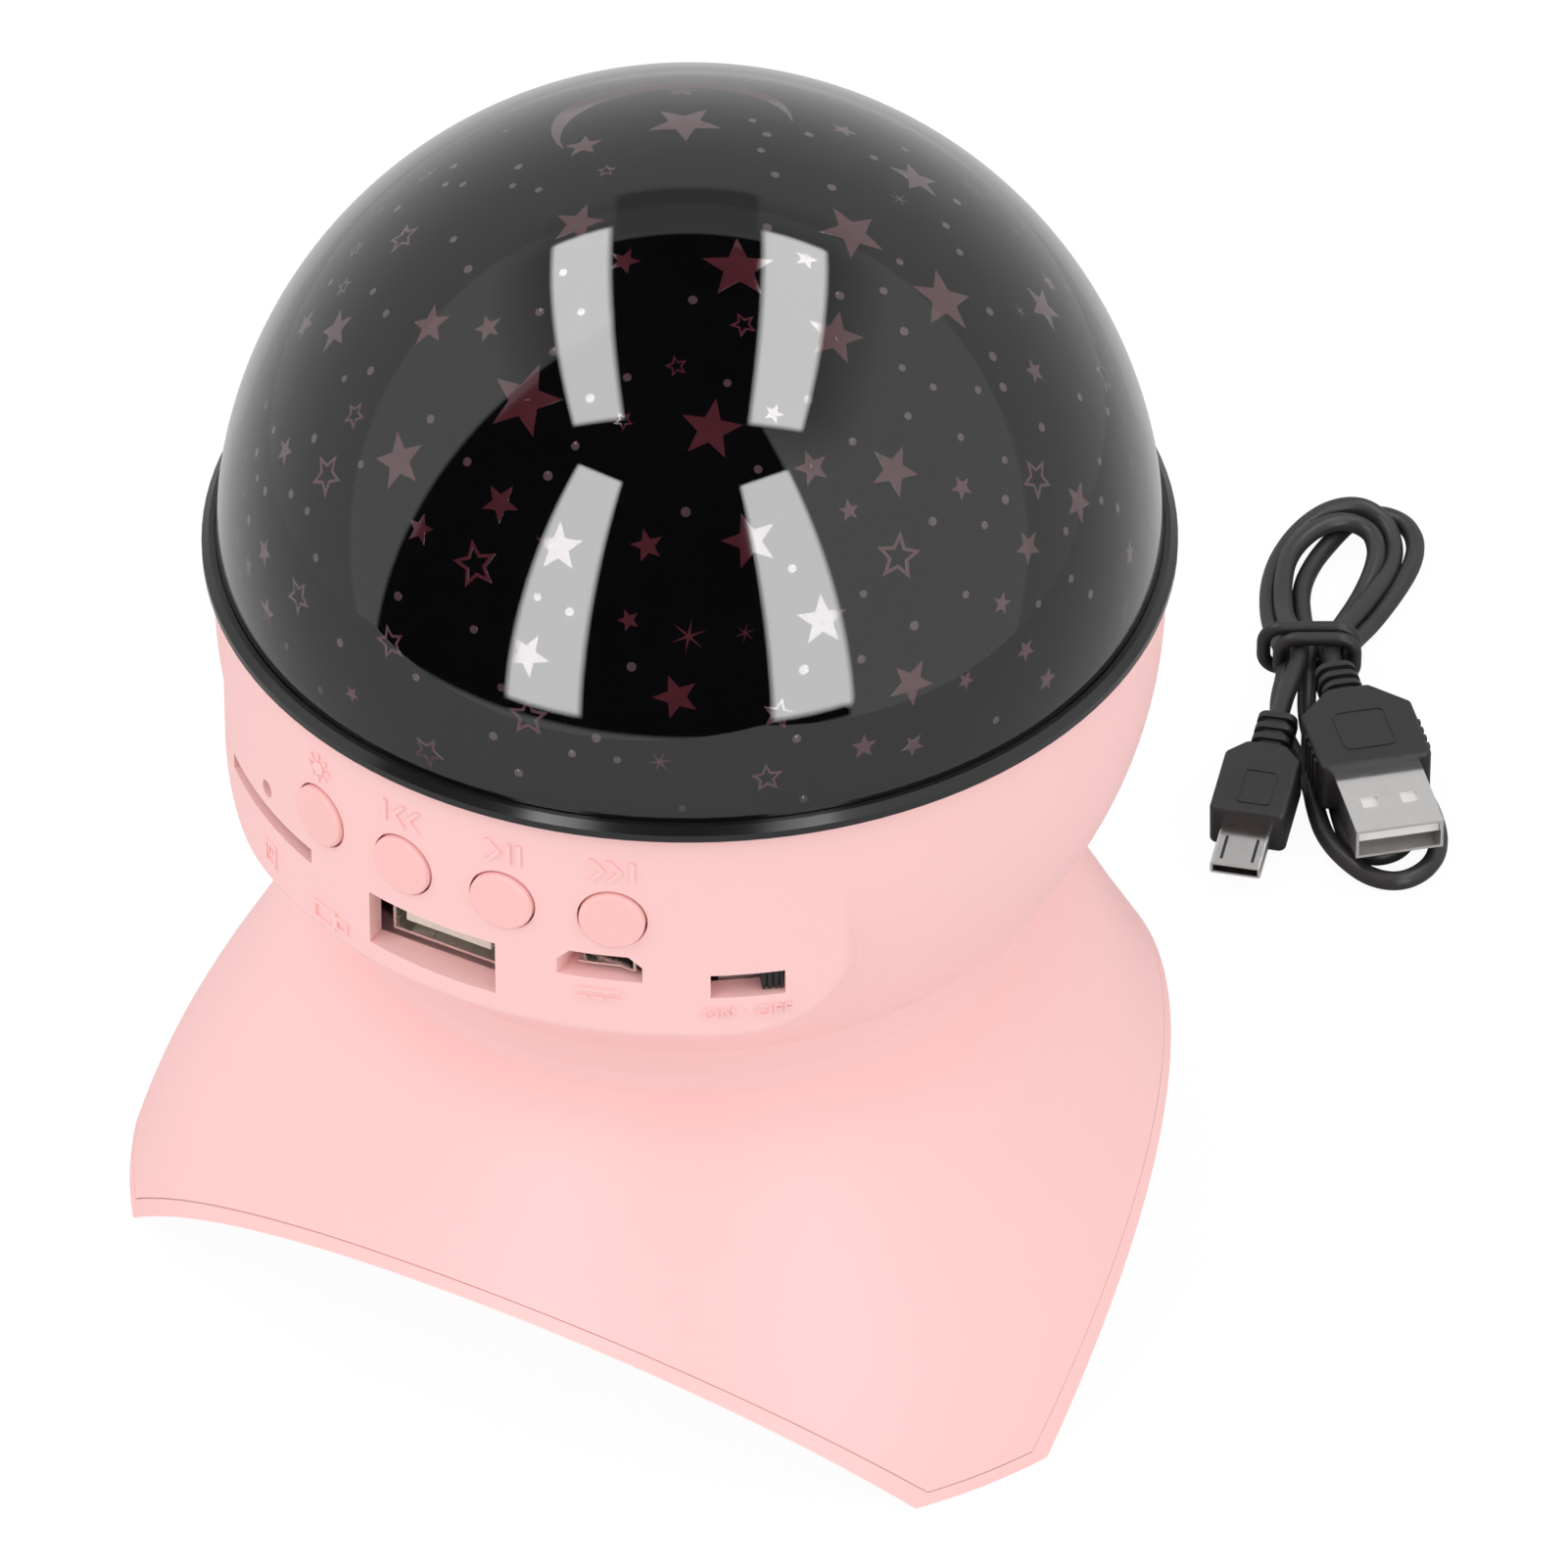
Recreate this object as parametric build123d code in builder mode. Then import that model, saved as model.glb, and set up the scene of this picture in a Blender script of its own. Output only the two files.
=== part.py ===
from build123d import *
import os
from math import acos, asin, cos, degrees, pi, radians, sin, sqrt, tan

# Star night light projector with a small loudspeaker, in millimetres.
# +Z is up and the dome's axis is the Z axis. The three feet stand on Z = 0.
# The control panel faces -Y. Angles on the panel are counted from -Y towards +X.

# ---------------------------------------------------------------- driving sizes
# The base's height, the bowl's depth and the dome's radius set the outer form
bowl_floor_z = 55.2
bowl_depth = 48.6
bowl_rim_z = bowl_floor_z + bowl_depth
dome_radius = 60.0

# Dome and printed film, both centred on the dome's centre
dome_wall = 1.6
film_gap = 0.5
film_wall = 0.6

# Turntable: a black disc whose rim is the ring round the dome's foot
turntable_gap = 0.3
ring_underside_z = bowl_rim_z + turntable_gap
dome_floor_z = ring_underside_z + 0.8
dome_centre_z = dome_floor_z - 1.0
ring_lip_z = dome_floor_z + 1.1
ring_radius = dome_radius + 1.7
ring_bevel = 0.9
dome_seat_gap = 0.15
turntable_disc_thickness = 2.0
hub_radius = 10.0
hub_bore_gap = 0.05
hub_sleeve_radius = 13.0
washer_thickness = 0.5
washer_play = 0.05
clip_thickness = 0.8
clip_radius = 12.0
clip_groove_depth = 0.5
clip_play = 0.1

# Gear train under the turntable
gear_module = 1.0
gear_addendum = 0.9
gear_dedendum = 1.25
gear_pressure_angle = 20.0
gear_teeth = 56
pinion_teeth = 14
gear_backlash = 0.24
gear_face = 4.0
pinion_face = 3.6
shaft_radius = 1.5
shaft_gap = 0.05
pinion_fit = 0.02
shaft_hole_gap = 1.0
gear_screw_circle = 20.0

# Bowl: upper housing
bowl_radius = dome_radius + 0.3
bowl_centre_z = bowl_rim_z - 7.5
deck_underside_z = bowl_rim_z - 7.8
bowl_wall = 2.2
bowl_floor_thickness = 2.2
spigot_radius = 34.0
spigot_wall = 2.0
spigot_depth = 2.0
wire_hole_radius = 8.0

# Control panel: an upright face on the bowl
panel_half_angle = 48.5
panel_corner_radius = 11.0
panel_edge_round = 1.6

# Push buttons
button_radius = 4.2
button_gap = 0.25
button_pitch_angle = 13.6
button_stand_out = 0.7
button_round = 0.5
button_flange_radius = button_radius + 0.6
button_z = deck_underside_z - button_flange_radius - 1.1
button_flange_thickness = 1.0
button_flange_play = 0.1
button_stem_radius = 1.3
button_travel = 0.5
button_names = ("led", "previous", "play", "next")
button_angles = [(k - 1.5) * button_pitch_angle for k in range(len(button_names))]

# Openings in the panel, in a row below the buttons
recess_depth = 4.1
recess_wall = 0.8
opening_row_gap = 0.25
charge_opening_width = 10.3
charge_opening_height = 3.9
charge_opening_angle = 18.7
charge_recess_top_z = button_z - button_flange_radius - opening_row_gap
charge_opening_z = charge_recess_top_z - recess_wall - charge_opening_height / 2
charge_opening_chamfer = 1.6
board_top_z = charge_opening_z - 1.3
data_port_width = 15.6
data_port_height = 6.6
data_opening_width = data_port_width + 3.2
data_opening_height = data_port_height + 1.4
data_opening_angle = -3.1
data_opening_z = board_top_z - 2.2
panel_foot_z = data_opening_z - 7.9
switch_opening_width = 9.4
switch_opening_height = 3.6
switch_opening_angle = 36.5
switch_recess_depth = 3.6
switch_opening_z = board_top_z - 1.2
card_slot_width = 22.0
card_slot_height = 2.3
card_slot_angle = -32.9
card_slot_z = board_top_z + 1.1
card_slot_depth = 3.0
pinhole_radius = 1.2
pinhole_angle = -32.3
pinhole_z = board_top_z + 5.1

# Ports and electronics
board_thickness = 1.6
board_radius = bowl_radius - 6.3
board_rear_y = -12.0
board_half_width = 42.0
board_notch_gap = 0.3
data_port_length = 14.0
data_port_gap = 0.3
port_metal = 0.4
data_tongue_thickness = 1.9
data_tongue_width = 12.2
data_tongue_length = 9.0
data_tongue_lift = -0.65
charge_port_width = 7.6
charge_port_height = 2.6
charge_port_length = 7.1
charge_port_set_back = 2.8
charge_port_chamfer = 0.7
charge_tongue_thickness = 0.6
charge_tongue_width = 4.4
charge_tongue_lift = 0.2
charge_port_back = 1.0
card_reader_back = 1.0
moulding_fit = 0.1
card_reader_width = 14.0
card_reader_length = 15.0
card_reader_height = 1.9
card_reader_wall = 0.5
card_reader_set_back = 4.2
switch_body_width = 8.8
switch_body_height = 4.6
switch_body_depth = 4.4
switch_set_back = 4.0
switch_slot_depth = 1.5
switch_aside = 1.2
switch_angle = switch_opening_angle + degrees(switch_aside / bowl_radius)
switch_travel = 4.0
switch_knob_width = 2.6
switch_knob_height = 3.0
switch_knob_waist = 0.5
switch_knob_gap = 0.3
switch_knob_inset = 0.8
switch_rib_pitch = 0.8
switch_rib_depth = 0.4
switch_waist_clear = 0.1
key_board_y = 12.3 - bowl_radius
key_board_bottom_z = button_z - 4.5
key_board_top_z = deck_underside_z - 0.3
key_rib_gap = 0.4
last_button_x = bowl_radius * sin(radians(button_angles[-1]))
key_rib_inner_x = last_button_x + button_flange_radius + key_rib_gap
key_rib_width = 2.0
key_board_half_width = key_rib_inner_x + 2.3
key_ledge_height = 1.2
tact_body_size = 4.5
tact_body_depth = 1.9
tact_plunger_radius = 0.9
tact_plunger_height = 0.3
tact_play = 0.15
microphone_radius = 2.0
microphone_length = 1.6
microphone_gap = 0.2
chip_height = 1.5
amplifier_size = (10.0, 6.2)
amplifier_place = (14.0, -28.0)
processor_size = (8.0, 8.0)
processor_place = (-6.0, -22.0)
capacitor_radius = 2.5
capacitor_height = 7.0
capacitor_places = ((26.0, -28.0), (33.0, -26.0))

# Deck that closes the bowl and carries the turntable, motor and lamp
deck_radius = bowl_radius - bowl_wall - 0.7
deck_thickness = 1.5
deck_pillar_circle = deck_radius - 7.4
deck_pillar_radius = 3.6
deck_pillar_angles = (45.0, 135.0, 190.0, 350.0)
hub_bore_radius = 5.9
hub_end = 0.6
motor_radius = 12.0
motor_can_height = 9.0
motor_can_step = 0.4
gearbox_height = 4.5
gearbox_floor = 1.0
motor_ear_offset = 15.5
motor_ear_radius = 3.2
motor_ear_thickness = 1.2

# Lamp in the middle of the dome
post_foot_radius = 9.6
post_foot_height = 1.4
post_radius = 6.5
post_bore_radius = 4.6
post_top_z = dome_floor_z + 7.1
lamp_screw_offset = 7.9
lamp_board_radius = 10.0
lamp_board_thickness = 1.2
lamp_led_radius = 2.5
lamp_led_height = 5.6
lamp_led_circle = 5.2
lamp_led_count = 4

# Rechargeable cell in a tray on the bowl's floor
cell_radius = 9.2
cell_length = 65.0
cell_y = 4.0
cell_button_radius = 3.0
cell_button_height = 1.0
holder_wall = 1.4
holder_height = 11.0
holder_clear = 0.25

# Base: a flared skirt with three arches between three feet
skirt_radii = (73.5, 69.4, 64.5, 59.0, 53.5, 47.2)
skirt_height = bowl_floor_z - 7.8
skirt_step = (skirt_height - 7.4) / 4
collar_radius = 45.0
collar_foot_z = bowl_floor_z - 5.6
skirt_wall = 2.2
arch_radius = 81.4
arch_centre_z = -56.9
arch_angles = (30.0, 150.0, 270.0)
foot_angles = (90.0, 210.0, 330.0)
base_flange_thickness = 2.4
cover_thickness = 1.5
cover_seam = 0.15

# Posts and screws
cover_post_circle = 38.0
cover_post_radius = 3.8
cover_screw_seat_z = 18.2
bowl_screw_circle = 38.5
bowl_boss_radius = 3.4
bowl_boss_height = 6.0
board_pillars = ((-32.0, -18.0), (32.0, -18.0), (9.5, -45.0))
board_pillar_radius = 3.0
screw_radius = 1.25
screw_head_radius = 2.5
screw_head_height = 1.6
screw_length = 7.0
small_screw_radius = 0.85
small_screw_head_radius = 1.7
small_screw_head_height = 1.1
small_screw_length = 4.5
thread_gap = 0.1
head_gap = 0.3
head_sink = 0.2
tight_head_gap = 0.1
screw_slot_width = 0.6

# Loudspeaker, facing down over the grille
speaker_radius = 25.0
speaker_seat_z = 29.0
speaker_seat_inner_radius = 22.8
speaker_seat_outer_radius = 31.0
speaker_lug_circle = 27.6
speaker_lug_radius = 2.8
speaker_lugs = 4
speaker_lug_angle = 0.0
speaker_flange_thickness = 1.2
speaker_lip = 2.0
speaker_basket_height = 10.0
speaker_basket_top_radius = 15.0
speaker_basket_wall = 0.8
speaker_window_width = 9.0
speaker_window_height = 6.0
speaker_window_corner = 1.5
magnet_radius = 14.0
magnet_height = 8.0
cone_wall = 0.5
cone_edge_radius = 22.8
cone_throat_radius = 7.0
cone_depth = 8.5
cone_cap_drop = 1.6
cone_gap = 0.2
magnet_chamfer = 0.8
coil_clear = 0.6
grille_hole_radius = 1.4
grille_ring_pitch = 5.0
grille_rings = 4

# Charging cable, tied in a small hank and lying flat beside the projector.
# U runs across the hank and V along it, both from the middle of its tie.
cord_radius = 1.3
hank_centre = (22.9, 130.7)
hank_turn = 29.4
hank_height = 5.4
hank_low_height = 2.7
neck_left = -5.3
neck_right = 4.2
neck_half_length = 2.4
neck_underside_z = 1.8
neck_top_z = 6.8
tie_radius = 0.95
tie_bend = 2.4
tie_squeeze = 0.1
tie_rings = ((1.25, -7.2), (-1.15, -5.1))
small_lead = ((-2.2, -2.0, 5.5), (-3.5, -7.0, 5.5), (-4.9, -12.0, 5.6), (-5.8, -17.2, 5.6))
wide_lead = ((1.7, -2.0, 5.5), (2.1, -8.6, 6.7))

# Plugs on the cable
small_plug_tail = (-5.7, -16.7, 5.6)
small_plug_angle = -12.7
small_plug_dip = 5.2
small_plug_relief = (7.4, 5.4, 4.0)
small_plug_width = 10.4
small_plug_thickness = 6.6
small_plug_front = 21.4
small_metal_size = (6.85, 1.85)
small_metal_corner = 0.4
small_metal_length = 7.8
small_mouth_size = (6.1, 1.15)
small_mouth_depth = 5.0
wide_plug_tail = (2.1, -8.2, 6.75)
wide_plug_angle = 12.5
wide_plug_dip = 0.0
wide_plug_relief = (6.8, 5.7, 5.2)
wide_plug_width = 15.2
wide_plug_thickness = 7.4
wide_plug_front = 23.4
wide_metal_size = (12.0, 4.5)
wide_metal_length = 12.4
wide_window_size = (2.3, 2.1)
wide_window_spacing = 5.4
wide_window_along = 6.6
wide_insert_size = (11.1, 1.9)
wide_insert_length = 11.6
plug_corner = 1.0
plug_edge_round = 0.6
plug_neck_share = 0.5
relief_ribs = 4

os.makedirs("parts", exist_ok=True)


def around(radius, angle, z=0.0):
    """A point at a radius and an angle about the dome's axis."""
    return (radius * cos(radians(angle)), radius * sin(radians(angle)), z)


def panel_plane(angle, radius, z):
    """A plane that faces outwards on the panel, its local X along the panel and Y up."""
    turn = radians(angle - 90.0)
    return Plane(
        origin=(radius * cos(turn), radius * sin(turn), z),
        x_dir=(-sin(turn), cos(turn), 0),
        z_dir=(cos(turn), sin(turn), 0),
    )


def front_plane(x, y, z):
    """A plane that faces -Y, its local X along X and its local Y up."""
    return Plane(origin=(x, y, z), x_dir=(1, 0, 0), z_dir=(0, -1, 0))


def panel_x(angle):
    """The X of a panel feature that is cut straight back."""
    return bowl_radius * sin(radians(angle))


def panel_y(x):
    """The Y of the panel's face at an X."""
    return -sqrt(bowl_radius**2 - x**2)


def screw(radius, length, head_radius, head_height):
    """A cross-head screw, its shank down from the origin and its head above."""
    with BuildPart() as piece:
        with BuildSketch(Plane.XY.offset(-length)):
            Circle(radius)
        extrude(amount=length)
        with BuildSketch(Plane.XY):
            Circle(head_radius)
        extrude(amount=head_height)
        with BuildSketch(Plane.XY.offset(head_height * 0.45)):
            Rectangle(head_radius * 1.3, screw_slot_width)
            Rectangle(screw_slot_width, head_radius * 1.3)
        extrude(amount=head_height, mode=Mode.SUBTRACT)
    return piece.part


housing_screw = screw(screw_radius, screw_length, screw_head_radius, screw_head_height)
small_screw = screw(small_screw_radius, small_screw_length, small_screw_head_radius, small_screw_head_height)
small_hole_radius = small_screw_radius + thread_gap
housing_hole_radius = screw_radius + thread_gap


def gear_points(teeth):
    """The outline of a spur gear, with straight chords along each involute flank."""
    pitch = gear_module * teeth / 2
    slope = radians(gear_pressure_angle)
    base = pitch * cos(slope)
    tip = pitch + gear_addendum * gear_module
    root = pitch - gear_dedendum * gear_module

    def half_angle(radius):
        here = acos(min(1.0, base / radius))
        roll = (tan(slope) - slope) - (tan(here) - here)
        return pi / (2 * teeth) - gear_backlash / (2 * pitch) + roll

    flank = [(root, half_angle(max(root, base))), (pitch, half_angle(pitch)), (tip, half_angle(tip))]
    points = []
    for tooth in range(teeth):
        centre = 2 * pi * tooth / teeth
        for radius, half in flank:
            points.append((radius * cos(centre - half), radius * sin(centre - half)))
        for radius, half in reversed(flank):
            points.append((radius * cos(centre + half), radius * sin(centre + half)))
    return points


# ---------------------------------------------------------------- dome and film
def hollow_dome(outer, wall):
    """A dome shell about the dome's centre, open at the turntable's floor."""
    with BuildPart() as shell:
        with Locations((0, 0, dome_centre_z)):
            Sphere(outer)
            Sphere(outer - wall, mode=Mode.SUBTRACT)
        with Locations((0, 0, dome_floor_z)):
            Cylinder(2 * outer, 2 * outer, align=(Align.CENTER, Align.CENTER, Align.MAX), mode=Mode.SUBTRACT)
    return shell


dome_cover = hollow_dome(dome_radius, dome_wall)
dome_cover.part.label = "dome_cover"
export_step(dome_cover.part, "parts/dome_cover.step")

star_film = hollow_dome(dome_radius - dome_wall - film_gap, film_wall)
star_film.part.label = "star_film"
export_step(star_film.part, "parts/star_film.step")

# ---------------------------------------------------------------- turntable
deck_top_z = deck_underside_z + deck_thickness
sleeve_foot_z = deck_top_z + washer_thickness + washer_play
disc_underside_z = dome_floor_z - turntable_disc_thickness
disc_radius = bowl_radius - bowl_wall - turntable_gap
sleeve_bore = hub_radius + hub_bore_gap
clip_foot_z = dome_floor_z + clip_play
hub_top_z = clip_foot_z + clip_thickness + hub_end
gear_foot_z = disc_underside_z - gear_face
gear_head_seat_z = gear_foot_z + small_screw_head_height + head_sink
pinion_foot_z = gear_foot_z + (gear_face - pinion_face) / 2
gear_distance = gear_module * (gear_teeth + pinion_teeth) / 2

with BuildPart() as turntable:
    with BuildSketch(Plane.XZ):
        with BuildLine():
            Polyline(
                (sleeve_bore, sleeve_foot_z),
                (hub_sleeve_radius, sleeve_foot_z),
                (hub_sleeve_radius, disc_underside_z),
                (disc_radius, disc_underside_z),
                (disc_radius, ring_underside_z),
                (ring_radius, ring_underside_z),
                (ring_radius, ring_lip_z - ring_bevel),
                (ring_radius - ring_bevel, ring_lip_z),
                (dome_radius + dome_seat_gap, ring_lip_z),
                (dome_radius + dome_seat_gap, dome_floor_z),
                (sleeve_bore, dome_floor_z),
                close=True,
            )
        make_face()
    revolve(axis=Axis.Z)
    with BuildSketch(Plane.XY.offset(disc_underside_z - 1.0)):
        with PolarLocations(gear_screw_circle, 3):
            Circle(small_hole_radius)
    extrude(amount=turntable_disc_thickness + 2.0, mode=Mode.SUBTRACT)
turntable.part.label = "turntable"
export_step(turntable.part, "parts/turntable.step")

with BuildPart() as turntable_gear:
    with BuildSketch(Plane.XY.offset(gear_foot_z)):
        with BuildLine():
            Polyline(*gear_points(gear_teeth), close=True)
        make_face()
        Circle(hub_sleeve_radius + thread_gap, mode=Mode.SUBTRACT)
        with PolarLocations(gear_screw_circle, 3):
            Circle(small_hole_radius, mode=Mode.SUBTRACT)
    extrude(amount=gear_face)
    with BuildSketch(Plane.XY.offset(gear_foot_z)):
        with PolarLocations(gear_screw_circle, 3):
            Circle(small_screw_head_radius + head_gap)
    extrude(amount=gear_head_seat_z - gear_foot_z, mode=Mode.SUBTRACT)
turntable_gear.part.label = "turntable_gear"
export_step(turntable_gear.part, "parts/turntable_gear.step")

with BuildPart() as gear_screws:
    for k in range(3):
        place = Location(around(gear_screw_circle, 120 * k, gear_head_seat_z), (180, 0, 0))
        add(small_screw.moved(place))
gear_screws.part.label = "gear_screws"
export_step(gear_screws.part, "parts/gear_screws.step")

# ---------------------------------------------------------------- motor and pinion
gearbox_foot_z = deck_underside_z - gearbox_height
can_foot_z = gearbox_foot_z - motor_can_height


def motor_plane(z):
    """A level plane centred on the motor."""
    return Plane(origin=(0, gear_distance, z))


with BuildPart() as drive_pinion:
    with BuildSketch(motor_plane(pinion_foot_z)):
        with BuildLine():
            Polyline(*gear_points(pinion_teeth), close=True)
        make_face()
        Circle(shaft_radius + pinion_fit, mode=Mode.SUBTRACT)
    extrude(amount=pinion_face)
drive_pinion.part.label = "drive_pinion"
export_step(drive_pinion.part, "parts/drive_pinion.step")

shaft_foot_z = gearbox_foot_z + gearbox_floor
with BuildPart() as motor_shaft:
    with BuildSketch(motor_plane(shaft_foot_z)):
        Circle(shaft_radius)
    extrude(amount=pinion_foot_z + pinion_face - shaft_foot_z)
motor_shaft.part.label = "motor_shaft"
export_step(motor_shaft.part, "parts/motor_shaft.step")

with BuildPart() as gearbox_case:
    with BuildSketch(motor_plane(gearbox_foot_z)):
        Circle(motor_radius)
    extrude(amount=gearbox_height)
    with BuildSketch(motor_plane(deck_underside_z)):
        with Locations((motor_ear_offset, 0), (-motor_ear_offset, 0)):
            Circle(motor_ear_radius)
        Rectangle(2 * motor_ear_offset, 2 * motor_ear_radius)
        with Locations((motor_ear_offset, 0), (-motor_ear_offset, 0)):
            Circle(small_hole_radius, mode=Mode.SUBTRACT)
    extrude(amount=-motor_ear_thickness)
    with BuildSketch(motor_plane(shaft_foot_z - shaft_gap)):
        Circle(shaft_radius + shaft_gap)
    extrude(amount=gearbox_height, mode=Mode.SUBTRACT)
gearbox_case.part.label = "gearbox_case"
export_step(gearbox_case.part, "parts/gearbox_case.step")

with BuildPart() as motor_can:
    with BuildSketch(motor_plane(can_foot_z)):
        Circle(motor_radius - motor_can_step)
    extrude(amount=motor_can_height)
    fillet(motor_can.faces().sort_by(Axis.Z)[0].edges(), radius=3 * motor_can_step)
motor_can.part.label = "motor_can"
export_step(motor_can.part, "parts/motor_can.step")

with BuildPart() as motor_screws:
    for side in (-1, 1):
        add(small_screw.moved(Location((side * motor_ear_offset, gear_distance, deck_top_z))))
motor_screws.part.label = "motor_screws"
export_step(motor_screws.part, "parts/motor_screws.step")

# ---------------------------------------------------------------- deck
deck_pillar_points = [around(deck_pillar_circle, a)[:2] for a in deck_pillar_angles]
lamp_screw_points = [(side * lamp_screw_offset, 0) for side in (-1, 1)]

with BuildPart() as top_deck:
    with BuildSketch(Plane.XY.offset(deck_underside_z)):
        Circle(deck_radius)
        with Locations(*deck_pillar_points):
            Circle(small_hole_radius, mode=Mode.SUBTRACT)
        with Locations((0, gear_distance)):
            Circle(shaft_radius + shaft_hole_gap, mode=Mode.SUBTRACT)
            with Locations((motor_ear_offset, 0), (-motor_ear_offset, 0)):
                Circle(small_hole_radius, mode=Mode.SUBTRACT)
    extrude(amount=deck_thickness)
    with BuildSketch(Plane.XY.offset(deck_top_z)):
        Circle(hub_radius)
    extrude(amount=hub_top_z - deck_top_z)
    with BuildSketch(Plane.XY.offset(clip_foot_z)):
        Circle(hub_radius + 1.0)
        Circle(hub_radius - clip_groove_depth, mode=Mode.SUBTRACT)
    extrude(amount=clip_thickness, mode=Mode.SUBTRACT)
    with BuildSketch(Plane.XY.offset(hub_top_z)):
        Circle(hub_bore_radius)
    extrude(amount=-(hub_top_z - deck_underside_z), mode=Mode.SUBTRACT)
    with BuildSketch(Plane.XY.offset(hub_top_z)):
        with Locations(*lamp_screw_points):
            Circle(small_hole_radius)
    extrude(amount=-small_screw_length, mode=Mode.SUBTRACT)
top_deck.part.label = "top_deck"
export_step(top_deck.part, "parts/top_deck.step")

with BuildPart() as thrust_washer:
    with BuildSketch(Plane.XY.offset(deck_top_z)):
        Circle(hub_sleeve_radius)
        Circle(hub_radius + hub_bore_gap, mode=Mode.SUBTRACT)
    extrude(amount=washer_thickness)
thrust_washer.part.label = "thrust_washer"
export_step(thrust_washer.part, "parts/thrust_washer.step")

with BuildPart() as hub_clip:
    with BuildSketch(Plane.XY.offset(clip_foot_z)):
        Circle(clip_radius)
        Circle(hub_radius - clip_groove_depth + hub_bore_gap, mode=Mode.SUBTRACT)
        with Locations((0, clip_radius)):
            Rectangle(1.5 * hub_radius, 1.5 * clip_radius, mode=Mode.SUBTRACT)
    extrude(amount=clip_thickness)
hub_clip.part.label = "hub_clip"
export_step(hub_clip.part, "parts/hub_clip.step")

with BuildPart() as deck_screws:
    for x, y in deck_pillar_points:
        add(small_screw.moved(Location((x, y, deck_top_z))))
deck_screws.part.label = "deck_screws"
export_step(deck_screws.part, "parts/deck_screws.step")

# ---------------------------------------------------------------- lamp
post_shoulder_z = hub_top_z + post_foot_height
lamp_board_top_z = post_top_z + lamp_board_thickness

with BuildPart() as lamp_post:
    with BuildSketch(Plane.XY.offset(hub_top_z)):
        Circle(post_foot_radius)
    extrude(amount=post_foot_height)
    with BuildSketch(Plane.XY.offset(post_shoulder_z)):
        Circle(post_radius)
    extrude(amount=post_top_z - post_shoulder_z)
    with BuildSketch(Plane.XY.offset(hub_top_z)):
        Circle(post_bore_radius)
        with Locations(*lamp_screw_points):
            Circle(small_hole_radius)
    extrude(amount=post_top_z - hub_top_z, mode=Mode.SUBTRACT)
    with BuildSketch(Plane.XY.offset(post_shoulder_z)):
        with Locations(*lamp_screw_points):
            Circle(small_screw_head_radius + tight_head_gap)
    extrude(amount=small_screw_head_height + head_gap, mode=Mode.SUBTRACT)
lamp_post.part.label = "lamp_post"
export_step(lamp_post.part, "parts/lamp_post.step")

with BuildPart() as lamp_screws:
    for x, y in lamp_screw_points:
        add(small_screw.moved(Location((x, y, post_shoulder_z))))
lamp_screws.part.label = "lamp_screws"
export_step(lamp_screws.part, "parts/lamp_screws.step")

with BuildPart() as lamp_board:
    with BuildSketch(Plane.XY.offset(post_top_z)):
        Circle(lamp_board_radius)
    extrude(amount=lamp_board_thickness)
lamp_board.part.label = "lamp_board"
export_step(lamp_board.part, "parts/lamp_board.step")

with BuildPart() as lamp_leds:
    with BuildSketch(Plane.XY.offset(lamp_board_top_z)):
        with PolarLocations(lamp_led_circle, lamp_led_count, start_angle=45):
            Circle(lamp_led_radius)
    extrude(amount=lamp_led_height)
    fillet(lamp_leds.faces().group_by(Axis.Z)[-1].edges(), radius=lamp_led_radius * 0.9)
lamp_leds.part.label = "lamp_leds"
export_step(lamp_leds.part, "parts/lamp_leds.step")


# ---------------------------------------------------------------- bowl
def upright_panel(inset):
    """The upright stretch of the bowl behind the panel, moved inwards by a wall."""
    radius = bowl_radius - inset
    top_z = bowl_rim_z + inset
    foot_z = panel_foot_z + inset
    half_width = bowl_radius * sin(radians(panel_half_angle)) - inset
    corner = panel_corner_radius - inset
    tall = top_z - foot_z + 2 * corner
    with BuildPart() as upright:
        with BuildSketch(Plane.XY.offset(foot_z)):
            Circle(radius)
        extrude(amount=top_z - foot_z)
        with BuildSketch(front_plane(0, 0, foot_z + tall / 2)):
            RectangleRounded(2 * half_width, tall, corner)
        extrude(amount=2 * radius, mode=Mode.INTERSECT)
        if not inset:
            face = upright.faces().filter_by(GeomType.CYLINDER).sort_by(Axis.Y)[0]
            edges = [edge for edge in face.edges() if edge.center().Z < top_z - 0.5]
            fillet(edges, radius=panel_edge_round)
    return upright.part


def bowl_form(inset):
    """The bowl with its upright panel, moved inwards by a wall."""
    radius = bowl_radius - inset
    floor_z = bowl_floor_z + (bowl_floor_thickness if inset else 0.0)
    top_z = bowl_rim_z + inset
    floor_radius = sqrt(radius**2 - (bowl_centre_z - floor_z) ** 2)
    middle = -asin((bowl_centre_z - floor_z) / radius) / 2
    upright = upright_panel(inset)
    with BuildPart() as form:
        with BuildSketch(Plane.XZ):
            with BuildLine():
                Line((0, floor_z), (floor_radius, floor_z))
                ThreePointArc(
                    (floor_radius, floor_z),
                    (radius * cos(middle), bowl_centre_z + radius * sin(middle)),
                    (radius, bowl_centre_z),
                )
                Polyline((radius, bowl_centre_z), (radius, top_z), (0, top_z), (0, floor_z))
            make_face()
        revolve(axis=Axis.Z)
        add(upright)
    return form.part


def data_opening(grow, depth):
    """The block that cuts the data port's opening straight back from the panel."""
    x = panel_x(data_opening_angle)
    with BuildPart() as block:
        with BuildSketch(front_plane(x, panel_y(x) + depth, data_opening_z)):
            Rectangle(data_opening_width + 2 * grow, data_opening_height + 2 * grow)
        extrude(amount=depth + 3.0)
    return block.part


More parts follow.
